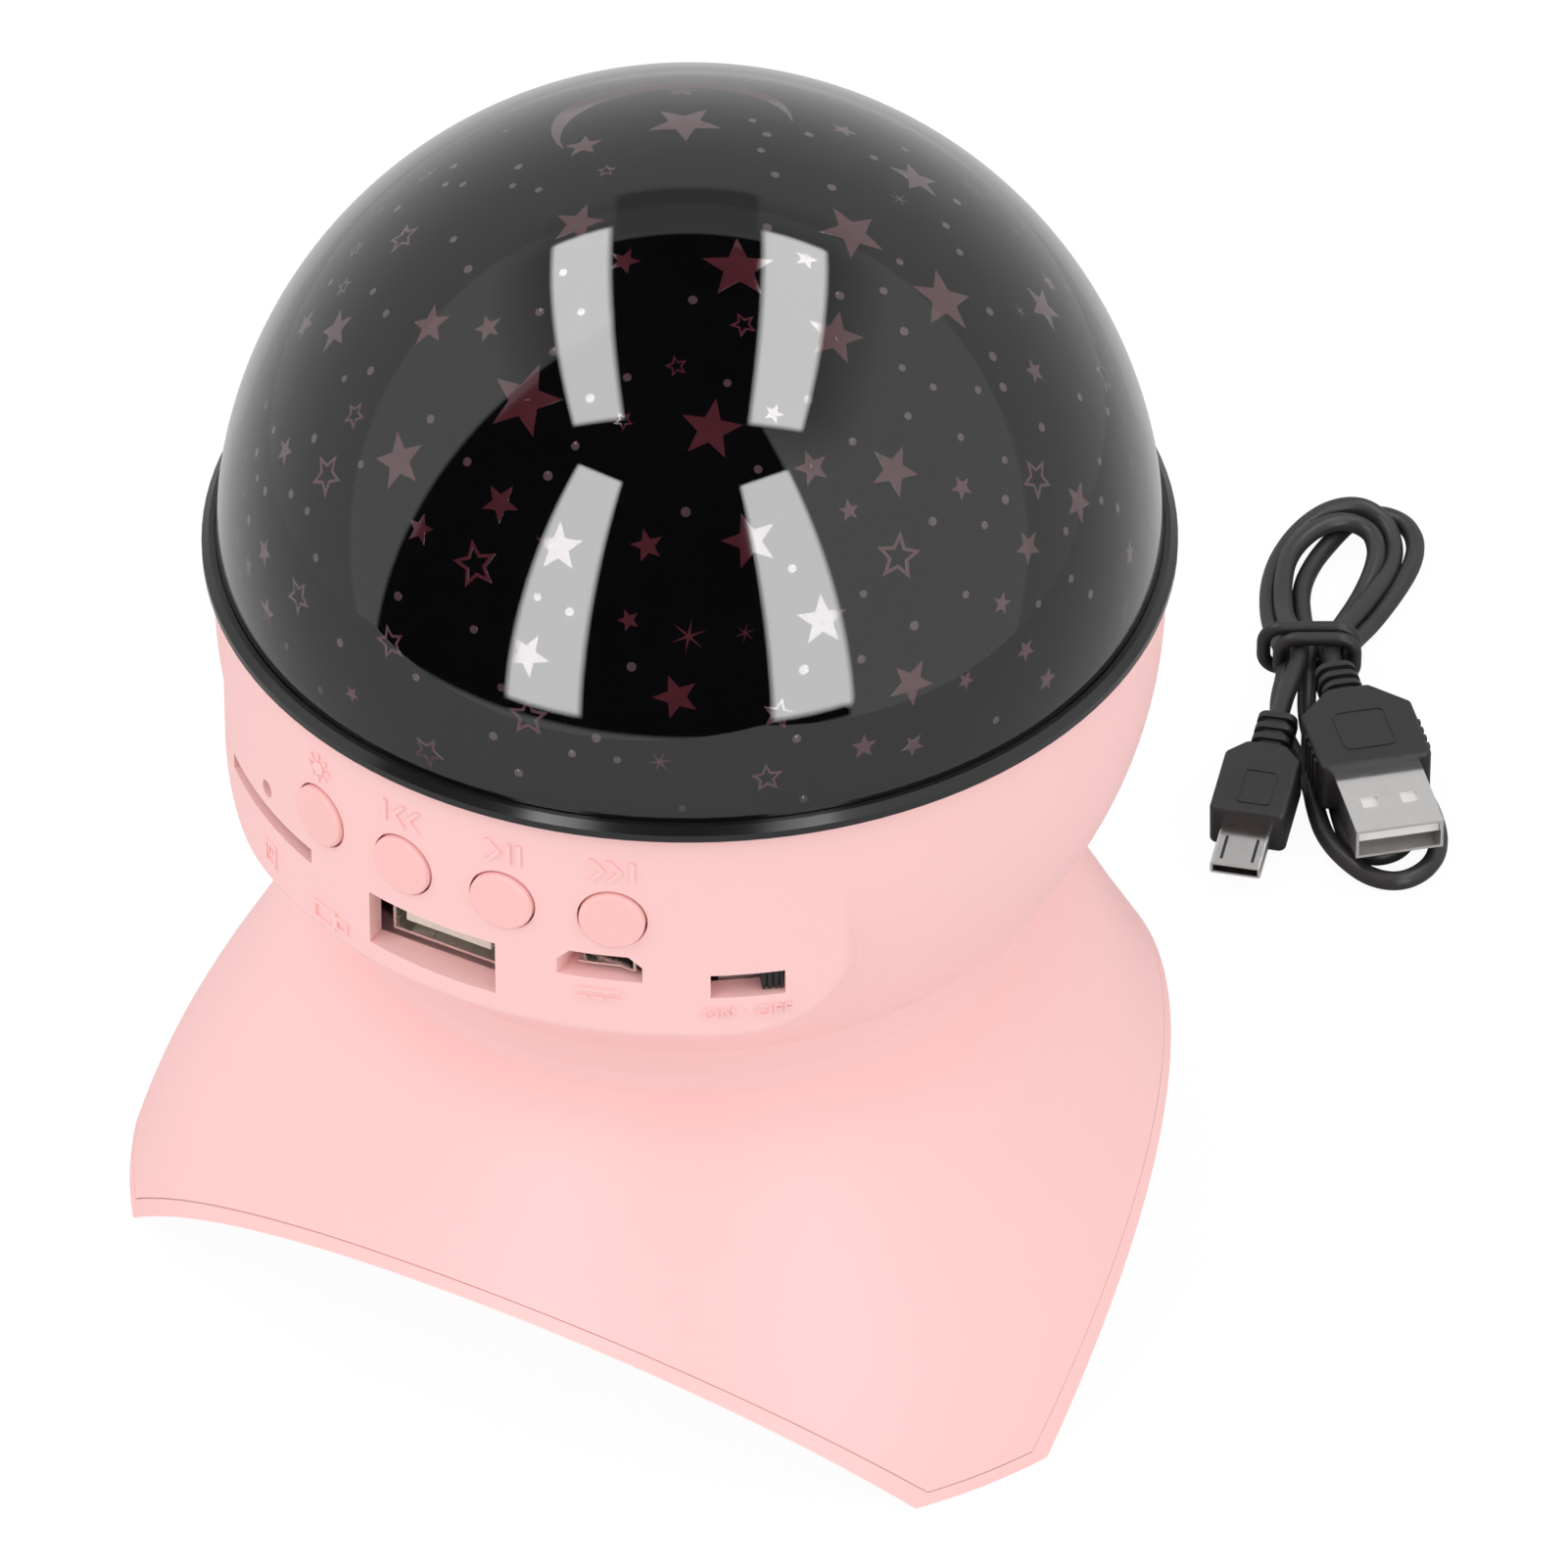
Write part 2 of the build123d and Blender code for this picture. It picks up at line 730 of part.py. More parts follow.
def charge_opening(grow, depth):
    """The block that cuts the charging port's opening, with its top corners cut off."""
    x = panel_x(charge_opening_angle)
    with BuildPart() as block:
        with BuildSketch(front_plane(x, panel_y(x) + depth, charge_opening_z)) as mouth:
            Rectangle(charge_opening_width + 2 * grow, charge_opening_height + 2 * grow)
            chamfer(mouth.vertices().group_by(Axis.Y)[-1], length=charge_opening_chamfer)
        extrude(amount=depth + 5.0)
    return block.part


def switch_opening(grow, depth):
    """The block that cuts the switch's opening square to the panel."""
    with BuildPart() as block:
        with BuildSketch(panel_plane(switch_opening_angle, bowl_radius - depth, switch_opening_z)):
            Rectangle(switch_opening_width + 2 * grow, switch_opening_height + 2 * grow)
        extrude(amount=depth + 2.0)
    return block.part


outer_form = bowl_form(0.0)
inner_form = bowl_form(bowl_wall)
data_frame = data_opening(recess_wall, recess_depth)
data_hole = data_opening(0.0, recess_depth + 1.0)
charge_frame = charge_opening(recess_wall, recess_depth)
charge_hole = charge_opening(0.0, recess_depth + 1.0)
switch_frame = switch_opening(recess_wall, switch_recess_depth)
switch_hole = switch_opening(0.0, switch_recess_depth + 1.0)
board_underside_z = board_top_z - board_thickness
bowl_inner_floor_z = bowl_floor_z + bowl_floor_thickness
key_front_y = key_board_y - board_thickness

with BuildPart() as bowl_inside:
    with BuildSketch(Plane.XY.offset(bowl_floor_z + 1.0)):
        with Locations(*deck_pillar_points):
            Circle(deck_pillar_radius)
    extrude(amount=deck_underside_z - bowl_floor_z - 1.0)
    with BuildSketch(Plane.XY.offset(bowl_floor_z + 1.0)):
        with Locations(*board_pillars):
            Circle(board_pillar_radius)
    extrude(amount=board_underside_z - bowl_floor_z - 1.0)
    for side in (-1, 1):
        rib_x = side * (key_rib_inner_x + key_rib_width / 2)
        rib_foot_z = key_board_bottom_z - key_ledge_height
        with BuildSketch(front_plane(rib_x, key_front_y, (rib_foot_z + key_board_top_z) / 2)):
            Rectangle(key_rib_width, key_board_top_z - rib_foot_z)
        extrude(amount=bowl_wall + 1.0)
        with BuildSketch(front_plane(rib_x, key_board_y, key_board_bottom_z - key_ledge_height / 2)):
            Rectangle(key_rib_width, key_ledge_height)
        extrude(amount=bowl_wall + board_thickness)
    add(data_frame)
    add(charge_frame)
    add(switch_frame)
    add(outer_form, mode=Mode.INTERSECT)

with BuildPart() as bowl_shell:
    add(outer_form)
    add(inner_form, mode=Mode.SUBTRACT)
    add(bowl_inside.part)
    add(data_hole, mode=Mode.SUBTRACT)
    add(charge_hole, mode=Mode.SUBTRACT)
    add(switch_hole, mode=Mode.SUBTRACT)
    with BuildSketch(panel_plane(card_slot_angle, bowl_radius - bowl_wall - card_slot_depth, card_slot_z)):
        Rectangle(card_slot_width, card_slot_height)
    extrude(amount=bowl_wall + 2 * card_slot_depth, mode=Mode.SUBTRACT)
    with BuildSketch(panel_plane(pinhole_angle, bowl_radius - bowl_wall - 1.0, pinhole_z)):
        Circle(pinhole_radius)
    extrude(amount=bowl_wall + 2.0, mode=Mode.SUBTRACT)
    for angle in button_angles:
        with BuildSketch(panel_plane(angle, bowl_radius - bowl_wall - 1.0, button_z)):
            Circle(button_radius + button_gap)
        extrude(amount=bowl_wall + 2.0, mode=Mode.SUBTRACT)
    with BuildSketch(Plane.XY.offset(bowl_floor_z)):
        Circle(spigot_radius)
        Circle(spigot_radius - spigot_wall, mode=Mode.SUBTRACT)
    extrude(amount=-spigot_depth)
    with BuildSketch(Plane.XY.offset(bowl_floor_z)):
        Circle(wire_hole_radius)
        with PolarLocations(bowl_screw_circle, 3, start_angle=30):
            Circle(housing_hole_radius)
    extrude(amount=bowl_floor_thickness, mode=Mode.SUBTRACT)
    with BuildSketch(Plane.XY.offset(deck_underside_z)):
        with Locations(*deck_pillar_points):
            Circle(small_hole_radius)
    extrude(amount=-small_screw_length, mode=Mode.SUBTRACT)
    with BuildSketch(Plane.XY.offset(board_underside_z)):
        with Locations(*board_pillars):
            Circle(small_hole_radius)
    extrude(amount=-small_screw_length, mode=Mode.SUBTRACT)
bowl_shell.part.label = "bowl_shell"
export_step(bowl_shell.part, "parts/bowl_shell.step")

with BuildPart() as bowl_screws:
    for k in range(3):
        place = Location(around(bowl_screw_circle, 30 + 120 * k, bowl_inner_floor_z))
        add(housing_screw.moved(place))
bowl_screws.part.label = "bowl_screws"
export_step(bowl_screws.part, "parts/bowl_screws.step")

# ---------------------------------------------------------------- buttons and key board
tact_front_y = key_front_y - tact_body_depth
flange_face = sqrt((bowl_radius - bowl_wall) ** 2 - button_flange_radius**2) - button_flange_play

for name, angle in zip(button_names, button_angles):
    plunger_reach = -tact_front_y / cos(radians(angle)) + tact_plunger_height
    stem_tilt = button_stem_radius * sin(radians(abs(angle)))
    stem_end = plunger_reach + button_travel + stem_tilt + tact_play
    with BuildPart() as button:
        with BuildSketch(panel_plane(angle, flange_face, button_z)):
            Circle(button_radius)
        extrude(amount=bowl_radius + button_stand_out - flange_face)
        fillet(button.faces().sort_by(Axis.Y)[0].edges(), radius=button_round)
        with BuildSketch(panel_plane(angle, flange_face, button_z)):
            Circle(button_flange_radius)
        extrude(amount=-button_flange_thickness)
        with BuildSketch(panel_plane(angle, stem_end, button_z)):
            Circle(button_stem_radius)
        extrude(amount=flange_face - stem_end)
    button.part.label = f"button_{name}"
    export_step(button.part, f"parts/button_{name}.step")

with BuildPart() as key_board:
    with BuildSketch(front_plane(0, key_board_y, (key_board_bottom_z + key_board_top_z) / 2)):
        Rectangle(2 * key_board_half_width, key_board_top_z - key_board_bottom_z)
    extrude(amount=board_thickness)
key_board.part.label = "key_board"
export_step(key_board.part, "parts/key_board.step")

with BuildPart() as tact_switches:
    for angle in button_angles:
        tact_x = -tact_front_y * tan(radians(angle))
        with BuildSketch(front_plane(tact_x, key_front_y, button_z)):
            Rectangle(tact_body_size, tact_body_size)
        extrude(amount=tact_body_depth)
        with BuildSketch(front_plane(tact_x, tact_front_y, button_z)):
            Circle(tact_plunger_radius)
        extrude(amount=tact_plunger_height)
tact_switches.part.label = "tact_switches"
export_step(tact_switches.part, "parts/tact_switches.step")

# ---------------------------------------------------------------- main board and ports
data_x = panel_x(data_opening_angle)
data_front_y = panel_y(data_x) + recess_depth + data_port_gap
data_rear_y = data_front_y + data_port_length
charge_x = panel_x(charge_opening_angle)
charge_front_y = panel_y(charge_x) + charge_port_set_back
charge_rear_y = charge_front_y + charge_port_length
switch_front = bowl_radius - switch_set_back
switch_rear = switch_front - switch_body_depth

with BuildPart() as main_board:
    with BuildSketch(Plane.XY.offset(board_underside_z)):
        Circle(board_radius)
        with Locations((0, board_rear_y)):
            Rectangle(
                2 * board_half_width,
                board_radius,
                align=(Align.CENTER, Align.MAX),
                mode=Mode.INTERSECT,
            )
        with Locations((data_x, data_rear_y + board_notch_gap)):
            Rectangle(
                data_port_width + 2 * board_notch_gap,
                board_radius,
                align=(Align.CENTER, Align.MAX),
                mode=Mode.SUBTRACT,
            )
        with Locations(*board_pillars):
            Circle(small_hole_radius, mode=Mode.SUBTRACT)
    extrude(amount=board_thickness)
    with BuildSketch(panel_plane(switch_angle, switch_rear - board_notch_gap, switch_opening_z)):
        Rectangle(switch_body_width + 2 * board_notch_gap, 3 * switch_body_height)
    extrude(amount=2 * switch_body_depth, mode=Mode.SUBTRACT)
main_board.part.label = "main_board"
export_step(main_board.part, "parts/main_board.step")

data_bore_width = data_port_width - 2 * port_metal
data_bore_height = data_port_height - 2 * port_metal
with BuildPart() as data_port_shell:
    with BuildSketch(front_plane(data_x, data_rear_y, data_opening_z)):
        Rectangle(data_port_width, data_port_height)
    extrude(amount=data_port_length)
    with BuildSketch(front_plane(data_x, data_rear_y - port_metal, data_opening_z)):
        Rectangle(data_bore_width, data_bore_height)
    extrude(amount=data_port_length, mode=Mode.SUBTRACT)
data_port_shell.part.label = "data_port_shell"
export_step(data_port_shell.part, "parts/data_port_shell.step")

tongue_root_y = data_front_y + port_metal + data_tongue_length
with BuildPart() as data_port_tongue:
    with BuildSketch(front_plane(data_x, data_rear_y - port_metal, data_opening_z)):
        Rectangle(data_bore_width - moulding_fit, data_bore_height - moulding_fit)
    extrude(amount=data_rear_y - port_metal - tongue_root_y)
    with BuildSketch(front_plane(data_x, tongue_root_y, data_opening_z + data_tongue_lift)):
        Rectangle(data_tongue_width, data_tongue_thickness)
    extrude(amount=data_tongue_length)
data_port_tongue.part.label = "data_port_tongue"
export_step(data_port_tongue.part, "parts/data_port_tongue.step")

charge_port_z = board_top_z + charge_port_height / 2
with BuildPart() as charge_port_shell:
    with BuildSketch(front_plane(charge_x, charge_rear_y, charge_port_z)) as socket:
        Rectangle(charge_port_width, charge_port_height)
        chamfer(socket.vertices().group_by(Axis.Y)[-1], length=charge_port_chamfer)
    extrude(amount=charge_port_length)
    with BuildSketch(front_plane(charge_x, charge_rear_y - charge_port_back, charge_port_z)) as cavity:
        Rectangle(charge_port_width - 2 * port_metal, charge_port_height - 2 * port_metal)
        chamfer(cavity.vertices().group_by(Axis.Y)[-1], length=charge_port_chamfer)
    extrude(amount=charge_port_length, mode=Mode.SUBTRACT)
    tongue_z = charge_port_z + charge_tongue_lift
    with BuildSketch(front_plane(charge_x, charge_rear_y - charge_port_back, tongue_z)):
        Rectangle(charge_tongue_width, charge_tongue_thickness)
    extrude(amount=charge_port_length - 2 * charge_port_back)
charge_port_shell.part.label = "charge_port_shell"
export_step(charge_port_shell.part, "parts/charge_port_shell.step")

card_reader_z = board_top_z + card_reader_height / 2
card_reader_rear = bowl_radius - card_reader_set_back - card_reader_length
with BuildPart() as card_reader:
    with BuildSketch(panel_plane(card_slot_angle, card_reader_rear, card_reader_z)):
        Rectangle(card_reader_width, card_reader_height)
    extrude(amount=card_reader_length)
    with BuildSketch(panel_plane(card_slot_angle, card_reader_rear + card_reader_back, card_reader_z)):
        Rectangle(card_reader_width - 4 * card_reader_wall, card_reader_height - 2 * card_reader_wall)
    extrude(amount=card_reader_length, mode=Mode.SUBTRACT)
card_reader.part.label = "card_reader"
export_step(card_reader.part, "parts/card_reader.step")

waist_height = switch_knob_height - 2 * switch_knob_waist
knob_rest = switch_travel / 2
knob_slot_half = knob_rest + switch_knob_width / 2 + switch_knob_gap
with BuildPart() as power_switch_body:
    with BuildSketch(panel_plane(switch_angle, switch_rear, switch_opening_z)):
        Rectangle(switch_body_width, switch_body_height)
    extrude(amount=switch_body_depth)
    with BuildSketch(panel_plane(switch_angle, switch_front - switch_slot_depth, switch_opening_z)):
        Rectangle(2 * knob_slot_half, waist_height + 2 * switch_knob_gap)
    extrude(amount=2 * switch_slot_depth, mode=Mode.SUBTRACT)
power_switch_body.part.label = "power_switch_body"
export_step(power_switch_body.part, "parts/power_switch_body.step")

waist_foot = switch_front - switch_slot_depth + switch_waist_clear
grip_foot = switch_front + switch_knob_gap
grip_top = bowl_radius - switch_knob_inset
with BuildPart() as power_switch_knob:
    with BuildSketch(panel_plane(switch_angle, waist_foot, switch_opening_z)):
        with Locations((knob_rest, 0)):
            Rectangle(switch_knob_width, waist_height)
    extrude(amount=grip_foot - waist_foot)
    with BuildSketch(panel_plane(switch_angle, grip_foot, switch_opening_z)):
        with Locations((knob_rest, 0)):
            Rectangle(switch_knob_width, switch_knob_height)
    extrude(amount=grip_top - grip_foot)
    with BuildSketch(panel_plane(switch_angle, grip_top - switch_rib_depth, switch_opening_z)):
        with Locations((knob_rest - switch_rib_pitch, 0), (knob_rest, 0), (knob_rest + switch_rib_pitch, 0)):
            Rectangle(switch_rib_pitch * 0.45, switch_knob_height)
    extrude(amount=1.0, mode=Mode.SUBTRACT)
power_switch_knob.part.label = "power_switch_knob"
export_step(power_switch_knob.part, "parts/power_switch_knob.step")

with BuildPart() as board_chips:
    with BuildSketch(Plane.XY.offset(board_top_z)):
        with Locations(amplifier_place):
            Rectangle(*amplifier_size)
        with Locations(processor_place):
            Rectangle(*processor_size)
    extrude(amount=chip_height)
board_chips.part.label = "board_chips"
export_step(board_chips.part, "parts/board_chips.step")

with BuildPart() as capacitors:
    with BuildSketch(Plane.XY.offset(board_top_z)):
        with Locations(*capacitor_places):
            Circle(capacitor_radius)
    extrude(amount=capacitor_height)
capacitors.part.label = "capacitors"
export_step(capacitors.part, "parts/capacitors.step")

microphone_rear = bowl_radius - bowl_wall - microphone_gap - microphone_length
with BuildPart() as microphone:
    with BuildSketch(panel_plane(pinhole_angle, microphone_rear, pinhole_z)):
        Circle(microphone_radius)
    extrude(amount=microphone_length)
microphone.part.label = "microphone"
export_step(microphone.part, "parts/microphone.step")

with BuildPart() as board_screws:
    for x, y in board_pillars:
        add(small_screw.moved(Location((x, y, board_top_z))))
board_screws.part.label = "board_screws"
export_step(board_screws.part, "parts/board_screws.step")

# ---------------------------------------------------------------- battery
cell_z = bowl_inner_floor_z + holder_wall + holder_clear + cell_radius
cell_bay = cell_radius + holder_clear

with BuildPart() as battery_cell:
    with BuildSketch(Plane(origin=(-cell_length / 2, cell_y, cell_z), x_dir=(0, 1, 0), z_dir=(1, 0, 0))):
        Circle(cell_radius)
    extrude(amount=cell_length - cell_button_height)
    with BuildSketch(Plane(origin=(-cell_length / 2, cell_y, cell_z), x_dir=(0, 1, 0), z_dir=(1, 0, 0))):
        Circle(cell_button_radius)
    extrude(amount=cell_length)
battery_cell.part.label = "battery_cell"
export_step(battery_cell.part, "parts/battery_cell.step")

with BuildPart() as battery_holder:
    with BuildSketch(Plane.XY.offset(bowl_inner_floor_z)):
        with Locations((0, cell_y)):
            Rectangle(cell_length + 2 * (holder_clear + holder_wall), 2 * (cell_bay + holder_wall))
    extrude(amount=holder_height)
    with BuildSketch(Plane.XY.offset(bowl_inner_floor_z + holder_wall)):
        with Locations((0, cell_y)):
            Rectangle(cell_length + 2 * holder_clear, 2 * cell_bay)
    extrude(amount=holder_height, mode=Mode.SUBTRACT)
battery_holder.part.label = "battery_holder"
export_step(battery_holder.part, "parts/battery_holder.step")


# ---------------------------------------------------------------- base
def skirt_form(inset, top_z):
    """The flared skirt and collar as a solid of revolution, moved inwards by a wall."""
    heights = [k * skirt_step for k in range(len(skirt_radii) - 1)] + [skirt_height]
    flare = [(r - inset, z) for r, z in zip(skirt_radii, heights)]
    shoulder = (collar_radius - inset, collar_foot_z)
    with BuildPart() as form:
        with BuildSketch(Plane.XZ):
            with BuildLine():
                Spline(*flare)
                Polyline(flare[-1], shoulder, (shoulder[0], top_z), (0, top_z), (0, 0), flare[0])
            make_face()
        revolve(axis=Axis.Z)
    return form.part


def arch_tunnel(angle, raise_by):
    """One arch under the base: a level cylinder cut to its third of the round."""
    reach = 2 * skirt_radii[0]
    with BuildPart() as tunnel:
        with BuildSketch(Plane(origin=(0, 0, 0), x_dir=around(1.0, angle + 90), z_dir=around(1.0, angle))):
            with Locations((0, arch_centre_z)):
                Circle(arch_radius + raise_by)
        extrude(amount=reach)
        with BuildSketch(Plane.XY.offset(-2 * arch_radius)):
            with BuildLine():
                left, right = (around(3 * reach, angle + side)[:2] for side in (-60, 60))
                Polyline((0, 0), left, right, close=True)
            make_face()
        extrude(amount=3 * arch_radius, mode=Mode.INTERSECT)
    return tunnel.part


def arch_space(raise_by, slab=0.0):
    """The space under the three arches, and a slab above the ground with it."""
    tunnels = [arch_tunnel(angle, raise_by) for angle in arch_angles]
    with BuildPart() as space:
        for tunnel in tunnels:
            add(tunnel)
        if slab:
            with BuildSketch(Plane.XY.offset(-arch_radius)):
                Circle(2 * skirt_radii[0])
            extrude(amount=arch_radius + slab)
    return space.part


flange_underside_z = bowl_floor_z - base_flange_thickness
outer_skirt = skirt_form(0.0, bowl_floor_z)
inner_skirt = skirt_form(skirt_wall, flange_underside_z)
arch_low = arch_space(0.0)
arch_inside = arch_space(cover_thickness, slab=cover_thickness)
arch_seam = arch_space(cover_thickness + cover_seam, slab=cover_thickness + cover_seam)
cover_post_points = [around(cover_post_circle, a)[:2] for a in foot_angles]

with BuildPart() as base_shell:
    add(outer_skirt)
    add(inner_skirt, mode=Mode.SUBTRACT)
    with BuildSketch(Plane.XY):
        with Locations(*cover_post_points):
            Circle(cover_post_radius)
    extrude(amount=flange_underside_z + 1.0)
    with BuildSketch(Plane.XY.offset(flange_underside_z + 1.0)):
        with PolarLocations(bowl_screw_circle, 3, start_angle=30):
            Circle(bowl_boss_radius)
    extrude(amount=-bowl_boss_height)
    add(arch_seam, mode=Mode.SUBTRACT)
    with BuildSketch(Plane.XY.offset(flange_underside_z)):
        Circle(spigot_radius + cover_seam)
    extrude(amount=base_flange_thickness, mode=Mode.SUBTRACT)
    with BuildSketch(Plane.XY.offset(bowl_floor_z)):
        with PolarLocations(bowl_screw_circle, 3, start_angle=30):
            Circle(housing_hole_radius)
    extrude(amount=-(base_flange_thickness + bowl_boss_height), mode=Mode.SUBTRACT)
    with BuildSketch(Plane.XY):
        with Locations(*cover_post_points):
            Circle(housing_hole_radius)
    extrude(amount=cover_screw_seat_z + screw_length + 1.0, mode=Mode.SUBTRACT)
base_shell.part.label = "base_shell"
export_step(base_shell.part, "parts/base_shell.step")

arch_crown_z = arch_centre_z + arch_radius
with BuildPart() as speaker_seat:
    with BuildSketch(Plane.XY.offset(arch_crown_z - 3 * cover_thickness)):
        Circle(speaker_seat_outer_radius)
        Circle(speaker_seat_inner_radius, mode=Mode.SUBTRACT)
    extrude(amount=speaker_seat_z - arch_crown_z + 3 * cover_thickness)

with BuildPart() as bottom_cover:
    add(outer_skirt)
    add(arch_inside, mode=Mode.INTERSECT)
    add(speaker_seat.part)
    add(arch_low, mode=Mode.SUBTRACT)
    with BuildSketch(Plane.XY):
        Circle(grille_hole_radius)
        for ring in range(1, grille_rings + 1):
            with PolarLocations(ring * grille_ring_pitch, 6 * ring):
                Circle(grille_hole_radius)
        with Locations(*cover_post_points):
            Circle(housing_hole_radius + thread_gap)
    extrude(amount=speaker_seat_z, mode=Mode.SUBTRACT)
    with BuildSketch(Plane.XY):
        with Locations(*cover_post_points):
            Circle(screw_head_radius + head_gap)
    extrude(amount=cover_screw_seat_z, mode=Mode.SUBTRACT)
    with BuildSketch(Plane.XY.offset(speaker_seat_z)):
        with PolarLocations(speaker_lug_circle, speaker_lugs, start_angle=speaker_lug_angle):
            Circle(small_hole_radius)
    extrude(amount=-small_screw_length, mode=Mode.SUBTRACT)
bottom_cover.part.label = "bottom_cover"
export_step(bottom_cover.part, "parts/bottom_cover.step")

with BuildPart() as cover_screws:
    for x, y in cover_post_points:
        add(housing_screw.moved(Location((x, y, cover_screw_seat_z), (180, 0, 0))))
cover_screws.part.label = "cover_screws"
export_step(cover_screws.part, "parts/cover_screws.step")

# ---------------------------------------------------------------- loudspeaker
flange_top_z = speaker_seat_z + speaker_flange_thickness
basket_top_z = flange_top_z + speaker_basket_height
with BuildPart() as speaker_frame:
    with BuildSketch(Plane.XY.offset(speaker_seat_z)):
        Circle(speaker_radius)
        with PolarLocations(speaker_lug_circle, speaker_lugs, start_angle=speaker_lug_angle):
            Circle(speaker_lug_radius)
        with PolarLocations(speaker_radius - speaker_lip, speaker_lugs, start_angle=speaker_lug_angle):
            Rectangle(2 * (speaker_lug_circle - speaker_radius + speaker_lip), 2 * speaker_lug_radius)
        Circle(speaker_radius - speaker_lip, mode=Mode.SUBTRACT)
        with PolarLocations(speaker_lug_circle, speaker_lugs, start_angle=speaker_lug_angle):
            Circle(small_hole_radius, mode=Mode.SUBTRACT)
    extrude(amount=speaker_flange_thickness)
    with BuildSketch(Plane.XZ):
        with BuildLine():
            Polyline(
                (speaker_radius - speaker_basket_wall, flange_top_z),
                (speaker_basket_top_radius, basket_top_z),
                (speaker_basket_top_radius, basket_top_z + speaker_basket_wall),
                (cone_throat_radius + coil_clear, basket_top_z + speaker_basket_wall),
                (cone_throat_radius + coil_clear, basket_top_z),
                (speaker_basket_top_radius - speaker_basket_wall, basket_top_z),
                (speaker_radius - speaker_lip, flange_top_z),
                close=True,
            )
        make_face()
    revolve(axis=Axis.Z)
    for k in range(speaker_lugs):
        angle = speaker_lug_angle + 360 * (k + 0.5) / speaker_lugs
        window = Plane(
            origin=(0, 0, (flange_top_z + basket_top_z) / 2),
            x_dir=around(1.0, angle + 90),
            z_dir=around(1.0, angle),
        )
        with BuildSketch(window.offset(speaker_basket_top_radius - 1.0)):
            RectangleRounded(speaker_window_width, speaker_window_height, speaker_window_corner)
        extrude(amount=speaker_radius, mode=Mode.SUBTRACT)
speaker_frame.part.label = "speaker_frame"
export_step(speaker_frame.part, "parts/speaker_frame.step")

cone_edge_z = speaker_seat_z + cone_gap
cone_throat_z = cone_edge_z + cone_depth
with BuildPart() as speaker_cone:
    with BuildSketch(Plane.XZ):
        with BuildLine():
            Polyline(
                (cone_edge_radius, cone_edge_z),
                (cone_throat_radius, cone_throat_z),
                (0, cone_throat_z - cone_cap_drop),
                (0, cone_throat_z - cone_cap_drop - cone_wall),
                (cone_throat_radius, cone_throat_z - 1.3 * cone_wall),
                (cone_edge_radius - 1.3 * cone_wall, cone_edge_z),
                close=True,
            )
        make_face()
    revolve(axis=Axis.Z)
speaker_cone.part.label = "speaker_cone"
export_step(speaker_cone.part, "parts/speaker_cone.step")

with BuildPart() as speaker_magnet:
    with BuildSketch(Plane.XY.offset(basket_top_z + speaker_basket_wall)):
        Circle(magnet_radius)
    extrude(amount=magnet_height)
    chamfer(speaker_magnet.faces().sort_by(Axis.Z)[-1].edges(), length=magnet_chamfer)
speaker_magnet.part.label = "speaker_magnet"
export_step(speaker_magnet.part, "parts/speaker_magnet.step")

with BuildPart() as speaker_screws:
    for k in range(speaker_lugs):
        turn = speaker_lug_angle + 360 * k / speaker_lugs
        place = Location(around(speaker_lug_circle, turn, flange_top_z))
        add(small_screw.moved(place))
speaker_screws.part.label = "speaker_screws"
export_step(speaker_screws.part, "parts/speaker_screws.step")


# ---------------------------------------------------------------- charging cable
def hank_point(u, v, z=0.0):
    """A point of the hank in the projector's frame."""
    c = cos(radians(hank_turn))
    s = sin(radians(hank_turn))
    return (hank_centre[0] + u * c - v * s, hank_centre[1] + u * s + v * c, z)


def plug_plane(tail, angle, dip, along=0.0):
    """A plane across a plug: Z from its cord end to its tip, X across its width."""
    heading = radians(hank_turn + angle)
    level = cos(radians(dip))
    ahead = Vector(sin(heading) * level, -cos(heading) * level, -sin(radians(dip)))
    return Plane(
        origin=Vector(*hank_point(*tail)) + ahead * along,
        x_dir=(cos(heading), sin(heading), 0),
        z_dir=ahead,
    )


def plug_body(tail, angle, dip, relief, width, thickness, front):
    """A moulded plug: a ribbed strain relief and a body with sloping shoulders."""
    relief_length, relief_width, relief_height = relief
    across = plug_plane(tail, angle, dip)
    lengthwise = Plane(origin=across.origin, x_dir=across.x_dir, z_dir=across.y_dir)
    rib = relief_length / (2 * relief_ribs - 1)
    half = width / 2
    neck = plug_neck_share * relief_width
    shoulder = relief_length + (half - neck)
    outline = ((-neck, relief_length), (neck, relief_length), (half, shoulder))
    outline += ((half, front), (-half, front), (-half, shoulder))
    with BuildPart() as body:
        with BuildSketch(lengthwise.offset(-thickness / 2)) as plan:
            with BuildLine():
                Polyline(*[(x, -along) for x, along in outline], close=True)
            make_face()
            fillet(plan.vertices(), radius=plug_corner)
        extrude(amount=thickness)
        fillet(body.faces().sort_by(Axis.Z)[-1].edges(), radius=plug_edge_round)
        fillet(body.faces().sort_by(Axis.Z)[0].edges(), radius=plug_edge_round)
        with BuildSketch(across):
            RectangleRounded(relief_width * 0.76, relief_height * 0.8, relief_height * 0.3)
        extrude(amount=relief_length + 0.5)
        for k in range(relief_ribs):
            with BuildSketch(across.offset(2 * k * rib)):
                RectangleRounded(relief_width, relief_height, relief_height * 0.35)
            extrude(amount=rib)
    return body


def smooth_route(points):
    """A cord's path: straight runs, joined by arcs as large as the runs allow."""
    corners = [Vector(*point) for point in points]
    runs = [b - a for a, b in zip(corners, corners[1:])]
    radii = []
    for before, after in zip(runs, runs[1:]):
        half_turn = radians(before.get_angle(after)) / 2
        radii.append(0.45 * min(before.length, after.length) / tan(half_turn))
    return corners, radii


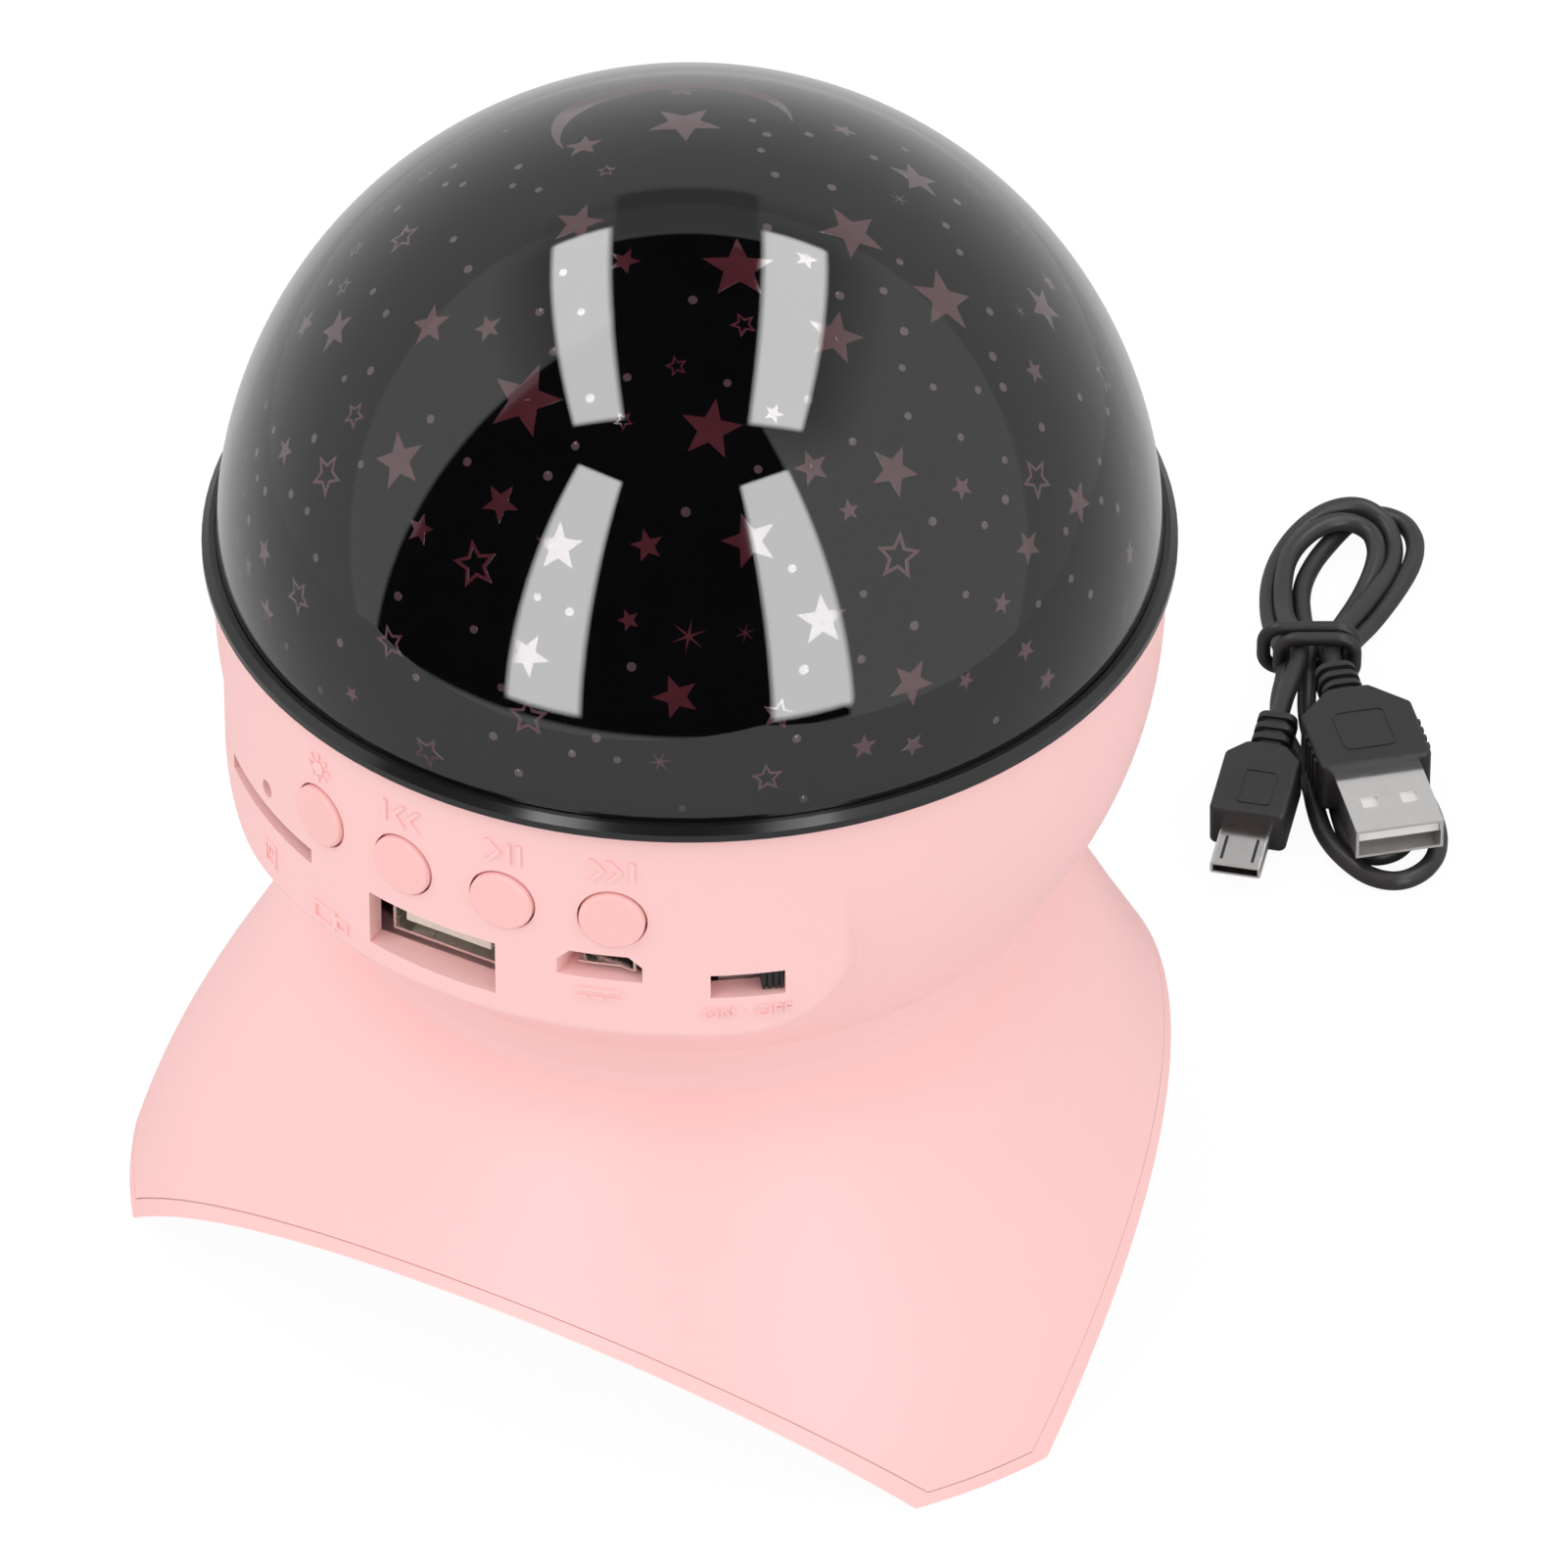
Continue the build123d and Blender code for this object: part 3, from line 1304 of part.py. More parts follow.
small_plug_body = plug_body(
    small_plug_tail,
    small_plug_angle,
    small_plug_dip,
    small_plug_relief,
    small_plug_width,
    small_plug_thickness,
    small_plug_front,
)
small_plug_body.part.label = "small_plug_body"
export_step(small_plug_body.part, "parts/small_plug_body.step")

small_shell_start = plug_plane(small_plug_tail, small_plug_angle, small_plug_dip, small_plug_front)
with BuildPart() as small_plug_shell:
    with BuildSketch(small_shell_start):
        RectangleRounded(*small_metal_size, small_metal_corner)
    extrude(amount=small_metal_length)
    with BuildSketch(small_shell_start.offset(small_metal_length - small_mouth_depth)):
        Rectangle(*small_mouth_size)
    extrude(amount=small_metal_length, mode=Mode.SUBTRACT)
small_plug_shell.part.label = "small_plug_shell"
export_step(small_plug_shell.part, "parts/small_plug_shell.step")

wide_plug_body = plug_body(
    wide_plug_tail,
    wide_plug_angle,
    wide_plug_dip,
    wide_plug_relief,
    wide_plug_width,
    wide_plug_thickness,
    wide_plug_front,
)
wide_plug_body.part.label = "wide_plug_body"
export_step(wide_plug_body.part, "parts/wide_plug_body.step")

wide_shell_start = plug_plane(wide_plug_tail, wide_plug_angle, wide_plug_dip, wide_plug_front)
wide_metal_width, wide_metal_height = wide_metal_size
with BuildPart() as wide_plug_shell:
    with BuildSketch(wide_shell_start):
        Rectangle(wide_metal_width, wide_metal_height)
        Rectangle(wide_metal_width - 2 * port_metal, wide_metal_height - 2 * port_metal, mode=Mode.SUBTRACT)
    extrude(amount=wide_metal_length)
    window_plane = Plane(origin=wide_shell_start.origin, x_dir=wide_shell_start.x_dir, z_dir=(0, 0, 1))
    with BuildSketch(window_plane):
        for side in (-0.5, 0.5):
            with Locations((side * wide_window_spacing, -wide_window_along)):
                Rectangle(*wide_window_size)
    extrude(amount=wide_metal_height, mode=Mode.SUBTRACT)
wide_plug_shell.part.label = "wide_plug_shell"
export_step(wide_plug_shell.part, "parts/wide_plug_shell.step")

insert_width, insert_thickness = wide_insert_size
insert_lift = (wide_metal_height - insert_thickness) / 2 - port_metal
with BuildPart() as wide_plug_insert:
    with BuildSketch(wide_shell_start):
        with Locations((0, insert_lift)):
            Rectangle(insert_width, insert_thickness)
    extrude(amount=wide_insert_length)
wide_plug_insert.part.label = "wide_plug_insert"
export_step(wide_plug_insert.part, "parts/wide_plug_insert.step")

# The hank itself is one closed solid of its outer shape: a ring of turns above the
# tie, a lower ring of turns under the wide plug, and the neck that the tie grips.
upper_ring = (
    (-4.6, 2.0), (-7.4, 10.3), (-7.5, 17.4), (-5.9, 24.8), (-2.5, 30.4), (2.4, 34.2), (7.6, 36.0),
    (12.2, 35.0), (15.2, 31.6), (15.8, 27.6), (14.6, 22.6), (11.6, 15.0), (7.6, 7.4), (4.0, 2.0),
)
upper_gap = (
    (1.2, 8.6), (-0.3, 14.0), (0.9, 22.0), (3.4, 28.2), (6.2, 29.0), (7.7, 26.0), (6.6, 20.6),
    (3.8, 13.0),
)
lower_ring = (
    (-4.6, -2.0), (-7.2, -7.6), (-6.7, -13.0), (-4.4, -18.0), (-2.8, -24.0), (-2.4, -32.0),
    (-0.8, -38.6), (2.4, -43.8), (7.0, -47.0), (11.6, -46.8), (15.4, -43.4), (16.9, -37.6),
    (16.2, -30.6), (13.8, -23.4), (9.8, -15.6), (6.8, -9.0), (4.0, -2.0),
)
lower_gap = (
    (4.2, -17.0), (2.2, -22.0), (1.9, -30.0), (3.4, -36.4), (7.0, -39.4), (10.4, -38.0), (11.7, -32.0),
    (8.8, -23.0),
)
hank_middle = Vector(*hank_point(0, 0))
hank_level = Plane(origin=hank_middle, x_dir=Vector(*hank_point(1, 0)) - hank_middle, z_dir=(0, 0, 1))
hank_rings = ((upper_ring, upper_gap, hank_height), (lower_ring, lower_gap, hank_low_height))

with BuildPart() as charging_cable_hank:
    for outline, gap, height in hank_rings:
        with BuildSketch(hank_level):
            with BuildLine():
                Spline(*outline)
                Line(outline[-1], outline[0])
            make_face()
            with BuildLine():
                Spline(*gap, periodic=True)
            make_face(mode=Mode.SUBTRACT)
        extrude(amount=height)
    with BuildSketch(hank_level):
        with Locations(((neck_left + neck_right) / 2, 0)):
            Rectangle(neck_right - neck_left, 2 * neck_half_length)
    extrude(amount=neck_top_z)
    with BuildSketch(hank_level):
        Rectangle(4 * neck_right, 2 * neck_half_length)
    extrude(amount=neck_underside_z, mode=Mode.SUBTRACT)
charging_cable_hank.part.label = "charging_cable_hank"
export_step(charging_cable_hank.part, "parts/charging_cable_hank.step")

corners, radii = smooth_route([hank_point(*point) for point in small_lead])
print("small lead radii", [round(r, 1) for r in radii])
with BuildPart() as small_plug_lead:
    with BuildLine() as route:
        FilletPolyline(*corners, radius=radii)
    with BuildSketch(Plane(origin=corners[0], z_dir=corners[1] - corners[0])):
        Circle(cord_radius)
    sweep(path=route.wires()[0])
small_plug_lead.part.label = "small_plug_lead"
export_step(small_plug_lead.part, "parts/small_plug_lead.step")

lead_start = Vector(*hank_point(*wide_lead[0]))
lead_end = Vector(*hank_point(*wide_lead[1]))
with BuildPart() as wide_plug_lead:
    with BuildSketch(Plane(origin=lead_start, z_dir=lead_end - lead_start)):
        Circle(cord_radius)
    extrude(amount=(lead_end - lead_start).length)
wide_plug_lead.part.label = "wide_plug_lead"
export_step(wide_plug_lead.part, "parts/wide_plug_lead.step")

tie_foot_z = tie_radius
tie_crown_z = neck_top_z + tie_radius - tie_squeeze
tie_right = neck_right + tie_radius - tie_squeeze
with BuildPart() as cable_tie:
    for v, left in tie_rings:
        middle = (left + tie_right) / 2
        ring_place = hank_point(middle, v)
        ring_plane = Plane(origin=ring_place, x_dir=hank_level.x_dir, z_dir=-hank_level.y_dir)
        half = (tie_right - left) / 2
        with BuildLine(ring_plane) as loop:
            FilletPolyline(
                (half, tie_foot_z),
                (half, tie_crown_z),
                (-half, tie_crown_z),
                (-half, tie_foot_z),
                radius=tie_bend,
                close=True,
            )
        path = loop.wires()[0]
        with BuildSketch(Plane(origin=path @ 0, z_dir=path % 0)):
            Circle(tie_radius)
        sweep(path=path)
cable_tie.part.label = "cable_tie"
export_step(cable_tie.part, "parts/cable_tie.step")
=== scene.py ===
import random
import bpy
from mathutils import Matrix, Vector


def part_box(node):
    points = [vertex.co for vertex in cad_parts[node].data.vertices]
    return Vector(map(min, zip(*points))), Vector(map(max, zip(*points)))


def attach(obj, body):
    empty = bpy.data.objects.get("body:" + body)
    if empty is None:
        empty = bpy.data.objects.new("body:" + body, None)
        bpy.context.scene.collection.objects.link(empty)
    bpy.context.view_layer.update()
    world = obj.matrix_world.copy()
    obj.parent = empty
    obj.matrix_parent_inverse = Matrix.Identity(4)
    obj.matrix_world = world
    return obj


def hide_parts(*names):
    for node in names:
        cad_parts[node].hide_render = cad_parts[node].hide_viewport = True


bl_info = {
    "name": "Star Night Light",
    "version": (1, 0, 0),
    "blender": (4, 5, 0),
    "location": "View3D > Sidebar > Night Light",
    "description": "Finishes a star night light projector and its charging cable",
    "category": "Object",
}

from math import acos, atan2, cos, pi, radians, sin, sqrt

import bmesh
import bpy
from bpy.props import FloatProperty, FloatVectorProperty, IntProperty
from mathutils import Euler, Matrix, Vector

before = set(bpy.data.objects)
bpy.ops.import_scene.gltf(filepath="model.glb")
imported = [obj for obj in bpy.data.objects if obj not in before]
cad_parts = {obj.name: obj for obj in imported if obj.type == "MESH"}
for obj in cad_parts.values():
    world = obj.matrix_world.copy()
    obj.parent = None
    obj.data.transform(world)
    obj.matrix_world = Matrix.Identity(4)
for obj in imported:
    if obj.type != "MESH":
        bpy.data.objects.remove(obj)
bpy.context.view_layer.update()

MM = 0.001

# The dome, its film and the panel, read from the frame
DOME_LOW, DOME_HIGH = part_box("dome_cover")
FILM_LOW, FILM_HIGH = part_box("star_film")
BOWL_LOW, BOWL_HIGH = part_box("bowl_shell")
DOME_RADIUS = sqrt(DOME_HIGH.x**2 + MM**2)
DOME_CENTRE = Vector((0, 0, DOME_HIGH.z - DOME_RADIUS))
FILM_RADIUS = FILM_HIGH.z - DOME_CENTRE.z
PANEL_RADIUS = BOWL_HIGH.x
BOWL_LOW_EDGE = BOWL_LOW.z + 2.0 * MM
BOWL_CENTRE_Z = BOWL_HIGH.z - 7.5 * MM
COLLAR_RADIUS = 45.0 * MM

FILM_GAP = 0.5 * MM  # between the film and the clear dome
FILM_WALL = 0.6 * MM
MARK_SINK = 0.3 * MM  # how far the marks reach into the panel
UP = Vector((0, 0, 1))


# ---------------------------------------------------------------- sizes and colours
def plain_setting(name, description, default):
    return FloatProperty(name=name, description=description, default=default)


def count_setting(name, description, default):
    return IntProperty(name=name, description=description, default=default)


def length_setting(name, description, default):
    return FloatProperty(name=name, description=description, default=default, unit="LENGTH")


def angle_setting(name, description, degrees):
    return FloatProperty(name=name, description=description, default=radians(degrees), subtype="ANGLE")


def colour_setting(name, description, default):
    return FloatVectorProperty(name=name, description=description, default=default, subtype="COLOR")


class StageSettings(bpy.types.PropertyGroup):
    azimuth: angle_setting("Camera azimuth", "Turn of the camera about the lamp", 29.4)
    elevation: angle_setting("Camera elevation", "Height of the camera above level", 38.74)
    distance: length_setting("Camera distance", "From the camera to the dome's centre", 1.985)
    rise: length_setting("Aim below the dome", "From the dome's centre down to the aim", 0.0312)
    sideways: length_setting("Aim beside the dome", "From the dome's centre right to the aim", 0.0119)
    lens: plain_setting("Lens", "Focal length on a 36 mm frame, in millimetres", 360.5)
    floor_size: length_setting("Floor", "Length of the floor's side", 1.1)
    floor_colour: colour_setting("Floor colour", "Colour of the pale floor", (0.86, 0.86, 0.86))
    tent: plain_setting("Tent light", "Brightness of the white tent round the lamp", 0.9)
    sheen: plain_setting("Tent sheen", "Brightness of the tent in reflections", 0.78)
    key_power: plain_setting("Key lamp", "Power of the large lamp above, in watts", 5.4)
    side_power: plain_setting("Side lamp", "Power of the lamp at the right, in watts", 2.4)


class LampSettings(bpy.types.PropertyGroup):
    pink: colour_setting("Pink", "Colour of the moulded housings", (0.975, 0.6, 0.585))
    key_pink: colour_setting("Key pink", "Colour of the push buttons", (0.97, 0.545, 0.52))
    # The window and dot colours are partly painted shade: the film's tint with the dim, unlit inside
    # of the lamp seen through it
    window: colour_setting("Window", "Colour of the film's windows, lamp off", (0.078, 0.019, 0.025))
    film_black: colour_setting("Film black", "Colour of the film's print", (0.003, 0.003, 0.0035))
    dot_window: colour_setting("Dot", "Colour of the film's small round windows", (0.085, 0.05, 0.058))
    window_height: length_setting("Window height", "How far a window lies above the film", 0.04 * MM)
    small_stars: count_setting("Small stars", "Stars scattered between the large ones", 78)
    dots: count_setting("Dots", "Dots scattered over the film", 210)
    seed: count_setting("Scatter seed", "Start of the scatter's random order", 11)
    mark_height: length_setting("Mark height", "How far the marks stand out of the panel", 0.3 * MM)


class CableSettings(bpy.types.PropertyGroup):
    diameter: length_setting("Cord diameter", "Across the cord", 2.6 * MM)
    turn: angle_setting("Hank turn", "Turn of the hank on the floor", 29.4)
    middle: FloatVectorProperty(
        name="Hank middle",
        description="Middle of the tie on the floor",
        default=(22.9 * MM, 130.7 * MM, 0),
        subtype="XYZ",
        unit="LENGTH",
    )
    colour: colour_setting("Cord colour", "Colour of the cord's sheath", (0.024, 0.024, 0.025))


# ---------------------------------------------------------------- shader maths
class Wire:
    """An output socket that can be used in sums. Each sum adds its Math node."""

    def __init__(self, paint, socket):
        self.paint = paint
        self.socket = socket

    def maths(self, operation, first, second=0.0, clamp=False):
        settings = {"operation": operation, "use_clamp": clamp}
        return self.paint.node("ShaderNodeMath", settings, {0: first, 1: second})

    def __add__(self, other):
        return self.maths("ADD", self, other)

    def __sub__(self, other):
        return self.maths("SUBTRACT", self, other)

    def __rsub__(self, other):
        return self.maths("SUBTRACT", other, self)

    def __mul__(self, other):
        return self.maths("MULTIPLY", self, other)

    def __truediv__(self, other):
        return self.maths("DIVIDE", self, other)

    def __gt__(self, other):
        return self.maths("GREATER_THAN", self, other)

    def __abs__(self):
        return self.maths("ABSOLUTE", self)

    __radd__ = __add__
    __rmul__ = __mul__

    def clamped(self):
        return self.maths("ADD", self, 0.0, clamp=True)

    def larger(self, other):
        return self.maths("MAXIMUM", self, other)


class Paint:
    """A node tree, with one method that adds any node."""

    def __init__(self, tree):
        self.tree = tree
        tree.nodes.clear()

    def node(self, kind, settings=None, inputs=None, output=0):
        made = self.tree.nodes.new(kind)
        for name, value in (settings or {}).items():
            setattr(made, name, value)
        for key, value in (inputs or {}).items():
            if isinstance(value, Wire):
                self.tree.links.new(value.socket, made.inputs[key])
            else:
                made.inputs[key].default_value = value
        return Wire(self, made.outputs[output]) if made.outputs else made

    def noise(self, size, detail=3.0):
        place = self.node("ShaderNodeTexCoord", output="Object")
        inputs = {"Vector": place, "Scale": 1.0 / size, "Detail": detail, "Roughness": 0.55}
        return self.node("ShaderNodeTexNoise", inputs=inputs)

    def mix_colours(self, factor, first, second):
        inputs = {0: factor, 6: first, 7: second}
        return self.node("ShaderNodeMix", {"data_type": "RGBA"}, inputs, output=2)

    def mottled(self, colour, darker, lighter, size, detail=3.0):
        """A noise, and the colour that it varies between two factors."""
        cloud = self.noise(size, detail)
        return cloud, self.mix_colours(cloud, opaque(colour, darker), opaque(colour, lighter))

    def bump(self, height, strength, distance):
        inputs = {"Height": height, "Strength": strength, "Distance": distance}
        return self.node("ShaderNodeBump", inputs=inputs)

    def along(self, ray, direction):
        """How far a ray reaches along a direction."""
        inputs = {0: ray, 1: direction}
        return self.node("ShaderNodeVectorMath", {"operation": "DOT_PRODUCT"}, inputs, output="Value")

    def light_path(self, kind):
        return self.node("ShaderNodeLightPath", output=f"Is {kind} Ray")

    def finish(self, shader, kind="ShaderNodeOutputMaterial"):
        self.node(kind, inputs={"Surface": shader})

    def finish_principled(self, inputs):
        self.finish(self.node("ShaderNodeBsdfPrincipled", inputs=inputs))


def opaque(colour, factor=1.0):
    """A colour with full alpha, made lighter or darker by a factor."""
    return tuple(min(1.0, channel * factor) for channel in colour[:3]) + (1.0,)


def new_paint(name):
    material = bpy.data.materials.new(name)
    material.use_nodes = True
    return material, Paint(material.node_tree)


# ---------------------------------------------------------------- materials
def moulded_pink(name, colour):
    """Satin moulded plastic with a fine spark-eroded grain."""
    material, paint = new_paint(name)
    grain = paint.noise(0.35 * MM, detail=2.0)
    _, shade = paint.mottled(colour, 0.985, 1.015, 28 * MM, detail=2.0)
    paint.finish_principled(
        {
            "Base Color": shade,
            "Roughness": 0.4 + grain * 0.12,
            "Specular IOR Level": 0.4,
            "Normal": paint.bump(grain, 0.35, 0.03 * MM),
        }
    )
    return material


def gloss_black():
    """Polished black moulding."""
    material, paint = new_paint("gloss_black")
    haze = paint.noise(6 * MM)
    shade = paint.mix_colours(haze, (0.009, 0.009, 0.0095, 1), (0.014, 0.014, 0.015, 1))
    roughness = 0.12 + haze * 0.05
    paint.finish_principled({"Base Color": shade, "Roughness": roughness, "Specular IOR Level": 0.6})
    return material


def clear_dome_finish():
    """Clear polished plastic that darkens where the wall is seen edge on."""
    material, paint = new_paint("clear_dome")
    roughness = 0.01 + paint.noise(12 * MM) * 0.02
    gloss = paint.node("ShaderNodeBsdfGlossy", inputs={"Color": (1, 1, 1, 1), "Roughness": roughness})
    facing = paint.node("ShaderNodeLayerWeight", inputs={"Blend": 0.5}, output="Facing")
    outside = 1.0 - paint.node("ShaderNodeNewGeometry", output="Backfacing")
    edge_on = ((facing - 0.7) * 25.0).clamped() * outside
    shade = paint.mix_colours(edge_on, (0.97, 0.97, 0.975, 1), (0.06, 0.06, 0.062, 1))
    clear = paint.node("ShaderNodeBsdfTransparent", inputs={"Color": shade})
    # The wall mirrors at both of its faces, and the outer one stands for the two
    mirror = facing.maths("POWER", facing, 5.0) * 0.96 + 0.04
    both_faces = mirror * (2.0 - mirror) * outside
    paint.finish(paint.node("ShaderNodeMixShader", inputs={0: both_faces, 1: clear, 2: gloss}))
    return material


def printed_black():
    """The film's dense black print."""
    material, paint = new_paint("printed_black")
    colour = bpy.context.scene.night_light_lamp.film_black
    haze, shade = paint.mottled(colour, 0.8, 1.3, 9 * MM)
    roughness = 0.25 + haze * 0.1
    paint.finish_principled({"Base Color": shade, "Roughness": roughness, "Specular IOR Level": 0.0})
    return material


def film_window(name, colour):
    """A clear window of the film: a second gloss over a painted colour, the film's tint with painted
    shade for the dim inside of the lamp.
    """
    material, paint = new_paint(name)
    depth, shade = paint.mottled(colour, 0.7, 1.3, 14 * MM, detail=2.0)
    roughness = 0.04 + depth * 0.03
    paint.finish_principled({"Base Color": shade, "Roughness": roughness, "Specular IOR Level": 0.8})
    return material


def sheet_metal(name, colour, roughness):
    """Plated sheet metal with faint rolling marks."""
    material, paint = new_paint(name)
    haze, shade = paint.mottled(colour, 0.9, 1.05, 1.6 * MM, detail=4.0)
    scratches = paint.noise(0.25 * MM, detail=2.0)
    paint.finish_principled(
        {
            "Base Color": shade,
            "Metallic": 1.0,
            "Roughness": roughness + haze * 0.12,
            "Normal": paint.bump(scratches, 0.08, 0.01 * MM),
        }
    )
    return material


def soft_black(name, colour, roughness, grain_size):
    """Black cable sheath or plug moulding with a fine satin grain."""
    material, paint = new_paint(name)
    grain = paint.noise(grain_size)
    _, shade = paint.mottled(colour, 0.85, 1.2, 12 * MM)
    paint.finish_principled(
        {
            "Base Color": shade,
            "Roughness": roughness + grain * 0.1,
            "Normal": paint.bump(grain, 0.25, 0.02 * MM),
        }
    )
    return material


def plain_moulding(name, colour, roughness, gloss=0.5):
    """Moulded plastic, paper or board of one colour with a light mottling."""
    material, paint = new_paint(name)
    cloud, shade = paint.mottled(colour, 0.9, 1.08, 4 * MM)
    varied = roughness + cloud * 0.08
    paint.finish_principled({"Base Color": shade, "Roughness": varied, "Specular IOR Level": gloss})
    return material


def clear_lens():
    """The clear epoxy of the light-emitting diodes."""
    material, paint = new_paint("clear_lens")
    haze = paint.noise(1.5 * MM)
    shade = paint.mix_colours(haze, (0.8, 0.82, 0.84, 1), (0.9, 0.92, 0.94, 1))
    paint.finish_principled({"Base Color": shade, "Roughness": 0.08, "Transmission Weight": 0.6})
    return material


def dress(material, *nodes):
    """Gives CAD nodes a material."""
    for name in nodes:
        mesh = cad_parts[name].data
        mesh.materials.clear()
        mesh.materials.append(material)


# ---------------------------------------------------------------- meshes
def face_outwards(piece):
    """Turns every face of a closed mesh outwards."""
    clean = bmesh.new()
    clean.from_mesh(piece.data)
    bmesh.ops.recalc_face_normals(clean, faces=clean.faces)
    clean.to_mesh(piece.data)
    clean.free()


def new_object(name, data, body):
    """A new piece, with the body that it moves with."""
    made = bpy.data.objects.new(name, data)
    bpy.context.scene.collection.objects.link(made)
    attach(made, body)
    return made


def mesh_object(name, points, faces, material, body, smooth=True):
    """A new piece made of points and faces."""
    mesh = bpy.data.meshes.new(name)
    mesh.from_pydata([tuple(point) for point in points], [], faces)
    mesh.polygons.foreach_set("use_smooth", [smooth] * len(faces))
    mesh.materials.append(material)
    mesh.update()
    return new_object(name, mesh, body)


def band(here, there, count):
    """The faces between two closed rows of points, by each row's first number."""
    after = [(k + 1) % count for k in range(count)]
    return [(here + k, there + k, there + after[k], here + after[k]) for k in range(count)]


def prism(start, count):
    """The ends and sides of a prism whose two ends are rows of points, one after the other."""
    second = start + count
    ends = [tuple(range(start, second)), tuple(range(second + count - 1, second - 1, -1))]
    return ends + band(start, second, count)


def dome_shell(outer, inner, foot_z, rings, columns):
    """Points and faces of a closed dome shell about the dome's centre, open downwards."""

    def arc(radius):
        """The radius and height of each ring, down from the crown."""
        lowest = acos((foot_z - DOME_CENTRE.z) / radius)
        steps = [lowest * k / rings for k in range(1, rings + 1)]
        return [(radius * sin(t), DOME_CENTRE.z + radius * cos(t)) for t in steps]

    profile = arc(outer) + arc(inner)[::-1]
    points = [Vector((0, 0, DOME_CENTRE.z + outer)), Vector((0, 0, DOME_CENTRE.z + inner))]
    for radius, z in profile:
        for k in range(columns):
            turn = 2 * pi * k / columns
            points.append(Vector((radius * cos(turn), radius * sin(turn), z)))
    faces = []
    for row in range(len(profile) - 1):
        faces += band(2 + row * columns, 2 + (row + 1) * columns, columns)
    last = 2 + (len(profile) - 1) * columns
    for k in range(columns):
        after = (k + 1) % columns
        faces.append((0, 2 + k, 2 + after))
        faces.append((1, last + after, last + k))
    return points, faces


def star_outline(radius, waist=0.42, points=5):
    """Points of a star about the origin."""
    outline = []
    for k in range(2 * points):
        reach = radius if k % 2 == 0 else radius * waist
        outline.append((reach * sin(pi * k / points), reach * cos(pi * k / points)))
    return outline


def parts_of_side(outline, step=1.2 * MM):
    """How many parts an outline's longest side is cut in, so that it follows the dome."""
    longest = max((Vector(b) - Vector(a)).length for a, b in zip(outline, outline[1:] + outline[:1]))
    return max(1, round(longest / step))


def finer_outline(outline, parts):
    """The same closed outline with each side cut in equal parts."""
    finer = []
    for a, b in zip(outline, outline[1:] + outline[:1]):
        for k in range(parts):
            share = k / parts
            finer.append((a[0] + (b[0] - a[0]) * share, a[1] + (b[1] - a[1]) * share))
    return finer


def circle_outline(radius, sides=14):
    """Points of a small circle about the origin."""
    return [(radius * sin(2 * pi * k / sides), radius * cos(2 * pi * k / sides)) for k in range(sides)]


# ---------------------------------------------------------------- dome and film
class FilmPrint:
    """Collects the film's windows as thin raised patches that follow the dome."""

    def __init__(self, radius, height):
        self.foot = radius - height
        self.top = radius + height
        self.points = []
        self.faces = []
        self.taken = []

    def on_dome(self, place, turn, x, y, radius):
        """The point at x and y about a place on the dome, along the surface."""
        reach = sqrt(x * x + y * y) / self.top
        heading = atan2(x, y) + turn
        spot = Vector((sin(reach) * sin(heading), sin(reach) * cos(heading), cos(reach)))
        tilt = Matrix.Rotation(pi / 2 - place[1], 3, "X")
        swing = Matrix.Rotation(place[0], 3, "Z")
        return DOME_CENTRE + (swing @ (tilt @ spot)) * radius

    def patch(self, place, outer, inner=None, turn=0.0, rings=4):
        """A window between an outline and an inner outline, or its middle where there is none."""
        parts = parts_of_side(outer)
        inner = finer_outline(inner or [(0.0, 0.0)] * len(outer), parts)
        outer = finer_outline(outer, parts)
        count = len(outer)
        start = len(self.points)
        rows = [(self.top, k / rings) for k in range(rings + 1)]
        rows += [(self.foot, k / rings) for k in range(rings, -1, -1)]
        for row, (radius, share) in enumerate(rows):
            for (x, y), (inner_x, inner_y) in zip(outer, inner):
                across = x + (inner_x - x) * share
                along = y + (inner_y - y) * share
                self.points.append(self.on_dome(place, turn, across, along, radius))
            self.faces += band(start + row * count, start + (row + 1) % len(rows) * count, count)

    def outlined_star(self, place, reach, share, turn):
        """A star drawn as a line. Its inner edge reaches a share of the outer one's reach."""
        inner = star_outline(share * reach, waist=0.46)
        self.patch(place, star_outline(reach, waist=0.46), inner, turn=turn, rings=1)

    def finish(self, name, material):
        """Makes a piece of the windows so far, and starts the next."""
        windows = mesh_object(name, self.points, self.faces, material, "turntable")
        face_outwards(windows)
        outward = [(vertex.co - DOME_CENTRE).normalized() for vertex in windows.data.vertices]
        windows.data.normals_split_custom_set_from_vertices(outward)
        self.points, self.faces = [], []

    def free(self, place, reach):
        """Whether a place is clear of the windows so far, which it then joins."""
        longitude, latitude = place
        spot = Vector((cos(latitude) * sin(longitude), -cos(latitude) * cos(longitude), sin(latitude)))
        for other, other_reach in self.taken:
            if (spot - other).length * self.top < reach + other_reach:
                return False
        self.taken.append((spot, reach))
        return True
